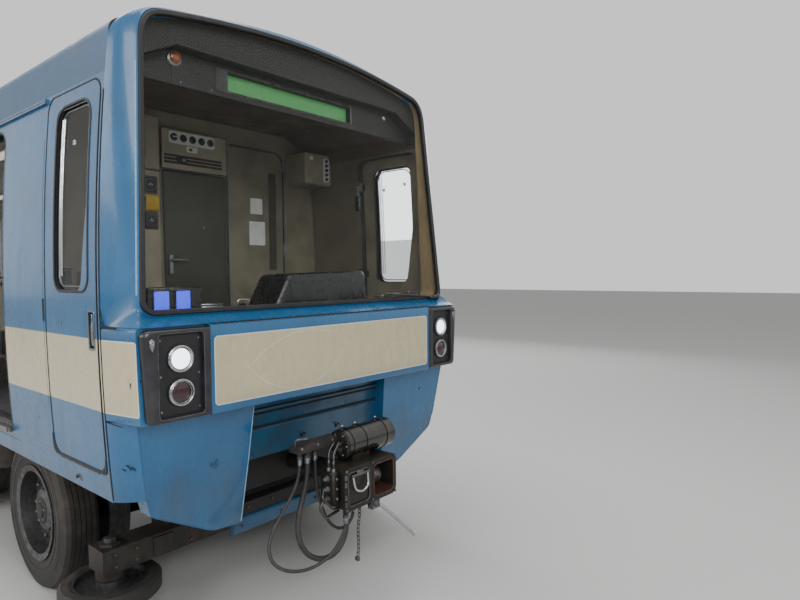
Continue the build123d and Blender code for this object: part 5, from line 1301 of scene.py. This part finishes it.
p.turned((7.899, *SIGNAL), AHEAD, ((0, 0.03), (0.006, 0.028), (0.011, 0.02), (0.013, 0.01), (0.0135, 0.002)),
         lamp_amber, 32)
for r in (0.01, 0.018, 0.025):
    p.ring((7.9085, *SIGNAL), AHEAD, r, r + 0.002, 0.003, lamp_amber, 28)
p.turned((7.888, 0.808, 3.107), AHEAD, ((0, 0.02), (0.004, 0.02), (0.007, 0.015), (0.01, 0.008)), chrome, 24)
p.done()

# brown lining under the cab's ceiling and its coves
p = Piece("cab_ceiling_lining", slot="cab_grey")
p.box((6.742, -0.846, 3.144), (7.868, 0.846, 3.1492), cab_ceiling, 0.001)
for side in (RIGHT, LEFT):
    p.slab(at_x(6.742, [(0.842, 3.144), (1.104, 3.011), (1.116, 3.013), (0.848, 3.149)], side), (1.124, 0, 0),
           cab_ceiling)
    p.bolts([(x, side * 0.8, 3.144) for x in steps(6.86, 0.22, 5)], -UP, 0.006, steel, 10)
p.done()

# desk: two lit blank displays in a dark housing, card box, bracket, lever with a round knob
p = Piece("cab_desk_fittings", slot="desk_black")
p.box((8.02, -1.088, 1.77), (8.078, -0.8, 1.934), console_black, 0.008)
for y0, y1 in ((-1.056, -0.981), (-0.943, -0.87)):
    plate(p, 8.078, y0 - 0.007, 1.79, y1 + 0.007, 1.922, 0.006, gloss_black, 0.006, 0.002)
    plate(p, 8.0835, y0, 1.797, y1, 1.914, 0.0012, display_blue, 0.004, 0.0004)
p.box((7.89, -0.742, 1.752), (7.955, -0.59, 1.826), steel, 0.006)
p.box((7.896, -0.735, 1.826), (7.95, -0.597, 1.838), chrome, 0.004)
for y in (-0.7, -0.665, -0.63):
    p.turned((7.955, y, 1.795), AHEAD, ((0, 0.01), (0.004, 0.01), (0.006, 0.006)), gloss_black, 14)
p.tube(bend([(7.93, y, z) for y, z in ((-0.487, 1.752), (-0.487, 1.852), (-0.413, 1.852), (-0.413, 1.752))], 0.014),
       0.005, chrome, 10)
p.box((7.905, -0.474, 1.756), (7.925, -0.426, 1.83), gloss_black, 0.003)
p.turned((7.74, LEVER_Y, 1.751), UP, ((0, 0.045), (0.012, 0.043), (0.022, 0.024)), gloss_black, 24)
p.tube([(7.74, LEVER_Y, 1.765), (7.78, LEVER_Y, 1.9)], 0.009, chrome, 10)
p.turned((7.78, LEVER_Y, 1.895), UP, ((0, 0.01), (0.012, 0.022), (0.03, 0.026), (0.046, 0.018), (0.052, 0.006)),
         gloss_black, 20)
p.done()

# ---------------- padded seats


def pad(p, middle, size, look, crown, radius, piping, axes=(AHEAD, ACROSS, UP)):
    """Stuffed pad: sides drawn in under a piped seam, and a crowned top that falls off to the corners."""
    sx, sy, sz = (v / 2 for v in size)
    outline = oblong(-sx, -sy, sx, sy, radius, 8, 0.04)

    def ring_at(shrink, height):
        out = []
        for q in outline:
            far = min(abs(q.x) / sx, 1) * min(abs(q.y) / sy, 1)
            f = max((1 - shrink / max(q.length, 0.05)) * (1 - 0.006 * (1 - far) / max(q.length, 0.1)), 0.0)
            out.append(Vector(middle) + axes[0] * q.x * f + axes[1] * q.y * f + axes[2] * height)
        return out

    seam = sz * 0.35
    foot = seam + 0.016
    rows = [ring_at(*sizes) for sizes in (
        (0.016, -sz), (0.004, -sz * 0.8), (0.0, -sz * 0.3), (0.003, seam - 0.008), (0.006, seam),
        (0.002, seam + 0.008), (0.01, foot))]
    rows += [ring_at(0.01 + min(sx, sy) * t * 0.9,
                     foot + (sz - foot) * min(1, t * 4) + crown * math.sin(math.pi / 2 * t))
             for t in (0.1, 0.2, 0.34, 0.5, 0.68, 0.86)]
    p.sheet(rows, look)
    p.cap(rows[-1], look)
    p.cap(rows[0], look)
    p.tube(ring_at(0.001, seam), 0.0042, piping, 8, closed=True)


def vinyl(name, a, b, worn_shade):
    """Seat vinyl: leather grain, creases and paler rubbed patches along them."""
    k = Look(name, 0.45, 0.0, 0.1)
    crease = k.noise((14, 14, 14), 6, 0.7)
    colour = k.mix(k.ramp(k.noise(4, 4), 0.3, 0.7), a, b)
    colour = k.mix(k.ramp(crease, 0.55, 0.8, 0.0, 0.5), colour, worn_shade)
    return k.finish(colour, k.ramp(crease, 0.3, 0.75, 0.34, 0.6),
                    k.bump(k.cells(320), 0.35, 0.0006, k.bump(crease, 0.25, 0.003)))


seat_vinyl = vinyl("seat_vinyl_blue", 0x285C8A, 0x224E78, 0x4A7AA0)
seat_piping = worn("seat_piping", 0x18324E, 0x1E3C5A, 0x343C42, 0.5, grain=50, relief=0.2)
stool_vinyl = vinyl("stool_vinyl_black", 0x222223, 0x1B1B1C, 0x3E3C39)
shell_blue = worn("seat_shell_moulding", 0xBEBCB2, 0xB2B0A6, 0x787266, 0.42, grain=8, dirt=0.35)

p = Piece("driver_stool_pads", slot="desk_black")
pad(p, (STOOL_X, 0, 1.52), (0.43, 0.45, 0.08), stool_vinyl, 0.014, 0.075, gasket)
pad(p, (7.03, 0, 1.632), (0.405, 0.205, 0.052), stool_vinyl, 0.01, 0.06, gasket,
    (ACROSS, Vector((-0.242, 0, 0.97)), Vector((0.97, 0, 0.242))))
p.done(angle=60, replaces=("cab_seat",))
p = Piece("driver_stool_frame", slot="running_gear_steel")
p.turned((STOOL_X, 0, 1.051), UP, ((0, 0.17), (0.018, 0.17), (0.028, 0.15), (0.031, 0.06)), grime_black, 48)
p.turned((STOOL_X, 0, 1.08), UP, ((0, 0.055), (0.2, 0.055), (0.205, 0.046), (0.385, 0.046)), steel, 32)
p.bolts(around((STOOL_X, 0, 1.078), 2, 0.135, 6), UP, 0.01, steel)
p.box((7.05, -0.17, 1.462), (7.41, 0.17, 1.478), grime_black, 0.006)
p.box((7.1, -0.06, 1.425), (7.36, 0.06, 1.464), grime_black, 0.01)
for y in (-0.12, 0.12):
    p.tube(bend([(7.13, y, 1.468), (7.02, y, 1.468), (7.018, y, 1.66)], 0.05), 0.012, steel, 12)
p.tube(bend([(7.3, 0.05, 1.44), (7.34, 0.2, 1.44), (7.4, 0.215, 1.46)], 0.03), 0.007, gloss_black, 10)
p.turned((7.4, 0.215, 1.46), (0.85, 0.2, 0.3), ((0, 0.01), (0.03, 0.012), (0.035, 0.006)), gloss_black, 16)
p.done(replaces=("cab_seat",))

pads = Piece("saloon_seat_pads", slot="seat_shell")
shells = Piece("saloon_seat_frames", slot="seat_shell")
# each row's X and the way it faces
SEAT_ROWS = [(w + f * -0.69, f) for w in WINDOWS for f in (1, -1)] + [(-8.05, 1)]
for x, f in SEAT_ROWS:
    for middle in (RIGHT * 0.718, LEFT * 0.718):
        for y in (middle - 0.213, middle + 0.213):
            pad(pads, (x + f * 0.285, y, 1.552), (0.415, 0.41, 0.05), seat_vinyl, 0.01, 0.05, seat_piping)
            pad(pads, (x + f * 0.062, y, 1.8), (0.41, 0.3, 0.036), seat_vinyl, 0.008, 0.05, seat_piping,
                (ACROSS, UP, AHEAD * f))
        shells.box((x + f * 0.056, middle - 0.428, 1.5), (x + f * 0.492, middle + 0.428, 1.529), shell_blue, 0.012)
        shells.box((x, middle - 0.428, 1.5), (x + f * 0.05, middle + 0.428, 1.966), shell_blue, 0.016)
        rail = ((-0.33, 1.958), (-0.33, 1.985), (0.33, 1.985), (0.33, 1.958))
        shells.tube(bend([(x + f * 0.026, middle + dy, z) for dy, z in rail], 0.02), 0.011, chrome, 12)
        leg = x + f * 0.28
        shells.box((leg - 0.06, middle - 0.05, 1.092), (leg + 0.06, middle + 0.05, 1.502), steel, 0.01)
        shells.box((leg - 0.1, middle - 0.09, 1.091), (leg + 0.1, middle + 0.09, 1.103), steel, 0.004)
        shells.bolts([(leg + dx, middle + dy, 1.103) for dx in (-0.08, 0.08) for dy in (-0.07, 0.07)], UP, 0.007, steel)
pads.done(angle=60, replaces=("seats",))
shells.done(replaces=("seats",))

# ---------------- coupler

FACE_X, BAR_X, VALVE_Y = 8.4795, 8.44, -0.238     # coupler's face, uncoupling lever, pipes of the valve block

p = Piece("coupler_trim", slot="running_gear_steel")
# glossy cylinder on top: clamp bands with their screws, end caps, lugs
for y in (-0.075, 0.03, 0.205):
    p.ring((CYLINDER_X, y, CYLINDER_Z), ACROSS, 0.084, 0.089, 0.024, gloss_black, 48)
    p.box((8.3, y + 0.002, 0.925), (8.322, y + 0.022, 0.95), dull_steel)
    p.bolts([(8.311, y + 0.012, 1.112)], (-0.3, 0, 1), 0.008, steel)
for y, way in ((-0.11, -ACROSS), (0.275, ACROSS)):
    p.turned((CYLINDER_X, y, CYLINDER_Z), way,
             ((-0.004, 0.08), (0.004, 0.078), (0.009, 0.06), (0.01, 0.022), (0.022, 0.02), (0.024, 0.012)),
             gloss_black, 40)
    p.bolts(around((CYLINDER_X, y + way.y * 0.006, CYLINDER_Z), 1, 0.062, 6), way, 0.007, steel)
# face: bolts round the rim, hinge barrels, pull ring on the lid
p.bolts([(8.48, y, z) for y in (-0.2, 0.006, 0.2) for z in (0.704, 0.916)], AHEAD, 0.009, dull_steel)
for z in (0.721, 0.761, 0.831, 0.871):
    p.turned((8.478, -0.203, z), UP, ((0, 0.01), (0.028, 0.01)), dull_steel, 16)
p.strip(at_x(FACE_X, oblong(-0.186, 0.716, -0.018, 0.902, 0.022, 7)), AHEAD, 0.007, 0.004, dull_steel)
p.box((8.478, -0.125, 0.874), (8.494, -0.075, 0.904), dull_steel, 0.004)
p.tube(bend([(8.488, -0.158, 0.88), (8.5, -0.15, 0.806), (8.503, -0.1, 0.786), (8.5, -0.048, 0.806),
             (8.488, -0.042, 0.884)], 0.03), 0.0065, chrome)
p.tube([(8.489, -0.17, 0.882), (8.489, -0.03, 0.882)], 0.008, dull_steel)
# funnel: worn red-brown lip, inner lock pin
p.strip(at_x(FACE_X, oblong(0.018, 0.716, 0.19, 0.902, 0.026, 7)), AHEAD, 0.01, 0.004, rust_red)
p.turned((8.4, 0.104, 0.81), AHEAD, ((0, 0.046), (0.02, 0.044), (0.035, 0.03), (0.05, 0.012)), dull_steel)
# uncoupling lever: thick bright bar with a rounded end and its pivot
p.tube(bend([(BAR_X, y, z) for y, z in ((0.062, 0.664), (0.108, 0.64), (0.225, 0.538), (0.43, 0.35))], 0.03),
       0.0118, chrome, 14)
p.turned((BAR_X, 0.425, 0.355), (0, 0.74, -0.67), ((0, 0.0118), (0.006, 0.016), (0.014, 0.016), (0.02, 0.008)),
         chrome, 16)
p.turned((8.425, 0.06, 0.664), AHEAD, ((0, 0.024), (0.04, 0.024), (0.044, 0.016)), dull_steel, 20)
p.box((8.425, 0.035, 0.655), (8.455, 0.085, 0.69), oily_cast_and_shade, 0.004)
# valve block on the right with its pipes and unions
p.box((8.362, -0.262, 0.735), (8.442, -0.214, 0.915), oily_cast_and_shade, 0.01)
for z in (0.77, 0.825, 0.88):
    p.turned((8.402, -0.262, z), -ACROSS, ((0, 0.019), (0.012, 0.019), (0.016, 0.013), (0.03, 0.012), (0.034, 0.008)),
             dull_steel, 6)
    p.bolts([(8.442, VALVE_Y, z)], AHEAD, 0.008, steel)
for x in (8.382, 8.42):
    p.tube(bend([(x, VALVE_Y, 0.905), (x, VALVE_Y, 0.965), (x - 0.03, -0.21, 1.0), (x - 0.05, -0.15, 1.04)], 0.025),
           0.008, gloss_black, 10)
    p.turned((x, VALVE_Y, 0.915), UP, ((0, 0.014), (0.016, 0.014), (0.018, 0.01)), steel, 6)
p.tube(bend([(8.402, -0.296, 0.77), (8.402, -0.325, 0.735), (8.402, -0.285, 0.665), (8.405, -0.19, 0.685)], 0.025),
       0.009, gloss_black, 10)
p.tube(bend([(8.402, -0.296, 0.825), (8.42, -0.325, 0.795), (8.44, -0.26, 0.715), (8.435, -0.205, 0.715)], 0.02),
       0.007, gloss_black, 10)
# bolts and cock on the manifold
p.bolts([(8.33, y, 1.058) for y in (-0.385, -0.27, -0.16)], AHEAD, 0.008, steel)
p.tube(bend([(8.29, -0.395, 1.068), (8.29, -0.395, 1.1), (8.33, -0.345, 1.104)], 0.012), 0.006, dull_steel, 10)
# chain below the lid
for k in range(14):
    mid = Vector((8.42 + 0.004 * math.sin(k * 0.7), -0.04 - 0.0012 * k, 0.684 - 0.0225 * k))
    flat = (AHEAD if k % 2 else ACROSS) * 0.0085
    p.tube([mid + flat * math.cos(a) + UP * 0.015 * math.sin(a) for a in turns(12)], 0.0028, dull_steel, 6, True)
p.box((8.405, -0.07, 0.355), (8.435, -0.05, 0.378), dull_steel, 0.004)
p.done()

# ferrules and nuts on both ends of each hose
p = Piece("hose_ferrules", slot="polished_steel")
for route, diameter, length in HOSES.values():
    for end, after in (route[:2], route[:-3:-1]):
        axis, r = Vector(after) - Vector(end), diameter / 2
        p.turned(end, axis, ((-0.004, r + 0.007), (0.012, r + 0.007), (0.014, r + 0.003)), dull_steel, 6)
        p.turned(end, axis, ((0.012, r + 0.003), (0.016, r + 0.004), (0.04, r + 0.004), (0.044, r + 0.001)), steel, 24)
p.done()

# ---------------- underframe

# each box's rear and front X, side and lowest Z
EQUIPMENT = ((1.35, 2.85, RIGHT, 0.48), (-0.15, 1.2, RIGHT, 0.43), (-1.5, -0.3, RIGHT, 0.52),
             (-2.85, -1.65, RIGHT, 0.47), (1.65, 2.85, LEFT, 0.45), (0.7, 1.5, LEFT, 0.56), (-2.85, -1.3, LEFT, 0.48))
p = Piece("equipment_lids", slot="running_gear_steel")
for x0, x1, side, low in EQUIPMENT:
    n = ACROSS * side
    count = max(1, round((x1 - x0) / 0.5))
    step = (x1 - x0 - 0.04) / count
    for k in range(count):
        a, b = x0 + 0.032 + step * k, x0 + 0.008 + step * (k + 1)
        for y, inset, r, rise, edge in ((1.0795, 0, 0.025, 0.007, 0.003), (1.086, 0.05, 0.03, 0.004, 0.004)):
            outline = oblong(a + inset, low + 0.035 + inset, b - inset, 0.895 - inset, r, 6)
            p.slab([(x, side * y, z) for x, z in outline], n * rise, grime_grey, edge)
        for x in (a + 0.07, b - 0.07):
            p.block((x, side * 1.0885, low + 0.061), (0.016, 0.007, 0.021), dull_steel)
            p.tube([(x, side * 1.098, low + 0.045), (x, side * 1.098, low + 0.078)], 0.004, steel, 8)
            p.tube([(x - 0.035, side * 1.086, 0.893), (x + 0.035, side * 1.086, 0.893)], 0.007, dull_steel, 10)
        p.bolts([(x, side * 1.0865, z) for z in (low + 0.13, 0.8) for x in (a + 0.02, b - 0.02)], n, 0.006, dull_steel)
    for y, z in ((side * 0.62, 0.78), (side * 0.74, 0.7), (side * 0.86, 0.62)):
        for x, way in ((x0, -1), (x1, 1)):
            p.turned((x, y, z), AHEAD * way, ((-0.002, 0.02), (0.014, 0.02), (0.018, 0.014), (0.03, 0.012)),
                     dull_steel, 6)
            p.tube(bend([(x + way * 0.02, y, z), (x + way * 0.055, y, z), (x + way * 0.055, y, 0.99)], 0.025), 0.0085,
                   hose_black, 8)
p.done()

p = Piece("underframe_pipes", slot="running_gear_steel")
for y, z, r in ((-0.23, 0.955, 0.019), (-0.17, 0.965, 0.012), (0.2, 0.955, 0.019), (0.255, 0.968, 0.01)):
    p.tube([(-3.35, y, z), (3.35, y, z)], r, grime_black if r > 0.015 else dull_steel)
    for x in range(-3, 4):
        p.ring((x, y, z), AHEAD, r - 0.001, r + 0.006, 0.03, dull_steel, 16)
        p.box((x + 0.008, y - 0.007, z), (x + 0.022, y + 0.007, 1.018), dull_steel, 0.002)
for y in (0.43, 0.83):
    for x in (-0.775, 0.125):
        p.ring((x, y, 0.69), AHEAD, 0.1645, 0.1685, 0.05, dull_steel)
    for x, way in ((-1.05, -1), (0.45, 1)):
        p.turned((x, y, 0.69), AHEAD * way, ((-0.006, 0.095), (0.003, 0.09), (0.008, 0.06), (0.009, 0.022),
                                             (0.022, 0.02), (0.024, 0.012)), grime_black, 32)
    p.turned((-0.3, y, 0.526), -UP, ((0, 0.016), (0.02, 0.014), (0.03, 0.01), (0.045, 0.01)), dull_steel, 12)
    p.tube(bend([(0.47, y, 0.69), (0.53, y, 0.69), (0.53, 0.255, 0.9), (0.53, 0.255, 0.965)], 0.06), 0.01,
           dull_steel, 10)
p.done()

# ---------------- bogies and wheels

for end, centre in (("front", 5.5), ("rear", -5.5)):
    p = Piece(f"bogie_fittings_{end}", f"bogie_{end}", "running_gear_steel")
    for way in (1, -1):
        def at(dx):
            return centre + way * dx

        p.bolts([(at(1.94), side * y, z) for side in (RIGHT, LEFT) for y in (0.98, 0.86, 0.52, 0.3, 0.1)
                 for z in (0.368, 0.436)], AHEAD * way, 0.01, dull_steel)
        # end plates; on the rear face a negative half size gives them a grooved rim
        for y in (-0.7, 0.7):
            p.block((at(1.945), y, 0.4025), (0.007 if way > 0 else -0.003, 0.06, 0.0525), grime_black)
        for dx in steps(0.36, 0.08, 6):
            p.ring((at(dx), 0, 0.53), AHEAD, 0.188, 0.2, 0.014, grime_black)
        p.box((at(0.45), -0.1, 0.7), (at(0.67), 0.1, 0.775), grime_black, 0.012)
        for y in (-0.06, 0.0, 0.06):
            p.tube(bend([(at(dx), y, z) for dx, z in ((0.46, 0.735), (0.36, 0.735), (0.29, 0.8), (0.22, 0.8))], 0.04),
                   0.013, hose_black, 10)
        for side in (RIGHT, LEFT):
            x, y = at(0.42), side * 0.672
            p.box((x - 0.045, side * 0.594, 0.555), (x + 0.045, side * 0.71, 0.585), grime_black, 0.006)
            p.turned((x, y, 0.585), UP, ((0, 0.022), (0.02, 0.022), (0.024, 0.036), (0.19, 0.036), (0.196, 0.024),
                                         (0.33, 0.024), (0.336, 0.03), (0.36, 0.03), (0.366, 0.018)),
                     gloss_black, 24)
            p.bolts([(at(dx), side * 0.595, AXLE_Z) for dx in steps(0.6, 0.18, 5)], ACROSS * side, 0.009, dull_steel)
            line = [(at(dx), side * 0.5, z) for dx, z in ((1.45, 0.592), (0.9, 0.632), (0.32, 0.672))]
            p.tube(line, 0.009, dull_steel, 10)
            for x, y, z in line[:2]:
                p.block((x, y, z - 0.004), (0.012, 0.016, 0.016), dull_steel)
            # upright guide-wheel spindle nut and grease cap
            p.turned((at(1.85), side * 0.97, 0.47), UP, ((0, 0.06), (0.012, 0.06), (0.016, 0.034), (0.04, 0.034),
                                                          (0.044, 0.02)), dull_steel, 6)
    for side in (RIGHT, LEFT):
        for z in (0.766, 0.985):
            p.ring((centre, side * 0.86, z), UP, 0.144, 0.158, 0.018, dull_steel, 48)
        p.bolts(around((centre, side * 0.86, 0.7605), 2, 0.178, 8), UP, 0.008, dull_steel)
        # collector: carbon strip, clamp bolts, spring and its cable
        y = side * 1.15
        p.block((centre, y, 0.2885), (0.165, 0.035, 0.0045), steel)
        p.bolts([(centre + dx, y, 0.335) for dx in (-0.13, -0.06, 0.06, 0.13)], UP, 0.008, steel)
        p.tube([(centre + 0.075 + 0.02 * math.cos(0.7 * k), side * 1.11 + 0.02 * math.sin(0.7 * k),
                 0.35 + 0.0036 * k) for k in range(64)], 0.0045, steel, 6)
        p.tube(bend([(centre - 0.1, y, 0.34), (centre - 0.1, y, 0.42), (centre - 0.16, side * 1.06, 0.52),
                     (centre - 0.05, side * 1.045, 0.622)], 0.05), 0.011, hose_black, 10)
    p.done()

for name in sorted(nodes):
    if not name.startswith("wheelset_"):
        continue
    xs = [v.co.x for v in nodes[name].data.vertices]
    hub = Vector(((min(xs) + max(xs)) / 2, 0, AXLE_Z))
    p = Piece(name.replace("wheelset", "wheel_bolts"), name, "running_gear_steel")
    for side in (RIGHT, LEFT):
        n = ACROSS * side
        for spot in around(hub + n * 0.988, 1, 0.205, 10):
            p.turned(spot, n, ((-0.002, 0.024), (0.003, 0.024), (0.004, 0.017)), dull_steel, 18)
            p.turned(spot, n, ((0.002, 0.016), (0.016, 0.016), (0.019, 0.012), (0.024, 0.007)), dull_steel, 6)
        p.turned(hub + n * 1.04, n, ((-0.004, 0.088), (0.004, 0.087), (0.008, 0.078), (0.009, 0.048), (0.016, 0.044),
                                      (0.018, 0.03)), grime_black, 40)
        p.bolts(around(hub + n * 1.049, 1, 0.066, 6, 0.3), n, 0.007, steel)
        for inner, outer, height in ((0.35, 0.358, 0.0035), (0.392, 0.397, 0.0025), (0.412, 0.419, 0.0035)):
            p.ring(hub + n * 1.0895, n, inner, outer, height, tyre_black, 64)
        for y in (0.935, 0.965, 0.995, 1.025):
            p.ring(hub + n * y - ACROSS * 0.003, ACROSS, 0.483, 0.4853, 0.006, black_gap, 96)
        p.tube([hub + n * 0.99 + AHEAD * 0.235, hub + n * 1.025 + AHEAD * 0.222], 0.005, steel, 8)
    p.done()

# ---------------- roof

roof_mesh = nodes["roof"].data
skin = BVHTree.FromPolygons([v.co for v in roof_mesh.vertices], [q.vertices[:] for q in roof_mesh.polygons])


def on_roof(places):
    """Line and normals of the roof's skin over the given places."""
    return zip(*[skin.ray_cast(Vector((x, y, 4)), -UP)[:2] for x, y in places])


p = Piece("roof_seams", slot="roof_paint")
for x in steps(6.95, -2.05, 8):
    line, normals = on_roof([(x, y) for y in steps(-1.12, 0.07, 33)])
    p.strip(line, normals, 0.045, 0.0022, roof_blue, closed=False)
    p.strip([q + AHEAD * 0.026 for q in line], normals, 0.004, 0.0008, black_gap, closed=False)
    for q, n in list(zip(line, normals))[1:-1:2]:
        p.bolts([q + n * 0.002], n, 0.006, roof_blue, 8)
for y in (-0.66, 0.66):
    p.strip(*on_roof([(x, y) for x in steps(-8.15, 0.4, 40)]), 0.012, 0.01, roof_blue, closed=False)
for x in WINDOWS + [6.45, -7.35]:
    for side in (RIGHT, LEFT):
        for z in (3.383, 3.394):
            p.block((x, side * 0.31, z), (0.37, 0.0015, 0.0028), black_gap, 0.001)
            p.block((x + side * 0.45, 0, z), (0.0015, 0.235, 0.0028), black_gap, 0.001)
        for y in (0.06, 0.19):
            p.block((x, side * y, 3.42135), (0.38, 0.012, 0.00085), roof_blue, 0.001)
        p.bolts([(x + dx, side * 0.262, 3.4165) for dx in (-0.4, 0.0, 0.4)], UP, 0.007, dull_steel, 8)
p.done()

# ---------------- rear end

p = Piece("rear_end_fittings", slot="body_paint")
p.strip(at_x(-8.2495, oblong(-0.362, 1.128, 0.362, 2.952, 0.062, 8)), -AHEAD, 0.022, 0.008, gasket)
p.strip(at_x(-8.2355, oblong(-0.212, 1.938, 0.212, 2.722, 0.062, 8)), -AHEAD, 0.034, 0.009, gasket)
for z in (1.35, 2.05, 2.75):
    p.tube([(-8.252, -0.352, z - 0.06), (-8.252, -0.352, z + 0.06)], 0.011, steel, 14)
p.box((-8.2405, 0.285, 1.94), (-8.2345, 0.33, 2.14), steel)
p.tube(bend([(-8.238, 0.305, 2.08), (-8.275, 0.305, 2.08), (-8.275, 0.195, 2.08)], 0.015), 0.008, chrome)
p.turned((-8.24, 0.307, 1.975), -AHEAD, ((0, 0.013), (0.004, 0.012), (0.005, 0.006)), chrome, 16)
p.box((-8.33, -0.4, 1.08), (-8.25, 0.4, 1.094), dull_steel, 0.004)
for y in steps(-0.38, 0.03, 26):
    p.block((-8.292, y, 1.0955), (0.03, 0.005, 0.0015), steel, 0.001)
for side in (RIGHT, LEFT):
    rail = ((-8.249, 1.48), (-8.3, 1.48), (-8.3, 2.52), (-8.249, 2.52))
    p.tube(bend([(x, side * 0.52, z) for x, z in rail], 0.03), 0.014, chrome, 14)
    for z in (1.48, 2.52):
        p.turned((-8.2495, side * 0.52, z), -AHEAD, ((0, 0.03), (0.005, 0.03), (0.009, 0.018)), steel, 24)
    # sockets for the cables to the next car
    for y in (side * 0.66, side * 0.82, side * 0.98):
        p.block((-8.267, y, 1.24), (0.018, 0.058, 0.07), grime_black, 0.01)
        p.turned((-8.285, y, 1.24), -AHEAD, ((0, 0.05), (0.012, 0.05), (0.018, 0.042), (0.019, 0.01)), dull_steel, 32)
        p.tube([(-8.3, y - 0.045, 1.296), (-8.3, y + 0.045, 1.296)], 0.006, steel, 10)
    p.tube(bend([(-8.252, side * 0.9, 1.6), (-8.252, side * 0.9, 2.98), (-8.252, side * 0.7, 3.06)], 0.08), 0.01,
           blue_plain, 10)
p.done()
p = Piece("rear_window_pane", slot="clear_glass")
p.slab(at_x(-8.215, oblong(-0.208, 1.942, 0.208, 2.718, 0.058, 8)), (0.008, 0, 0), side_pane)
p.done(angle=20)

# ---------------- saloon

saloon_lamp = glow("saloon_lamp_cover", 0xF0EEE4, 0.7, 0.4)
p = Piece("saloon_fittings", slot="polished_steel")
for y in (RIGHT * 0.5, LEFT * 0.5):
    for x in steps(-7.95, 1.32, 11):
        p.box((x, y - 0.075, 3.128), (x + 1.24, y + 0.075, 3.1498), saloon_cream, 0.006)
        p.box((x + 0.02, y - 0.055, 3.112), (x + 1.22, y + 0.055, 3.13), saloon_lamp, 0.012)
        for dx in (0.01, 1.23):
            p.block((x + dx, y, 3.12), (0.012, 0.06, 0.01), steel)
flange = ((0, 0.045), (0.006, 0.044), (0.012, 0.028), (0.045, 0.0215))
for x in DOORS + WINDOWS:
    p.turned((x, 0, 1.1008), UP, flange, chrome)
    p.turned((x, 0, 3.149), -UP, flange, chrome)
    p.turned((x, 0, 2.05), UP, ((0, 0.0215), (0.05, 0.0215)), chrome)
for x, f in SEAT_ROWS[:-1]:
    x -= f * 0.04
    for side in (RIGHT, LEFT):
        for z, way in ((1.1008, UP), (3.128, -UP)):
            p.turned((x, side * 0.258, z), way, ((0, 0.04), (0.006, 0.039), (0.012, 0.026), (0.04, 0.021)), chrome, 24)
        p.tube(bend([(x, side * y, 1.93) for y in (0.258, 0.7, 1.1)], 0.03), 0.013, chrome)
p.done()
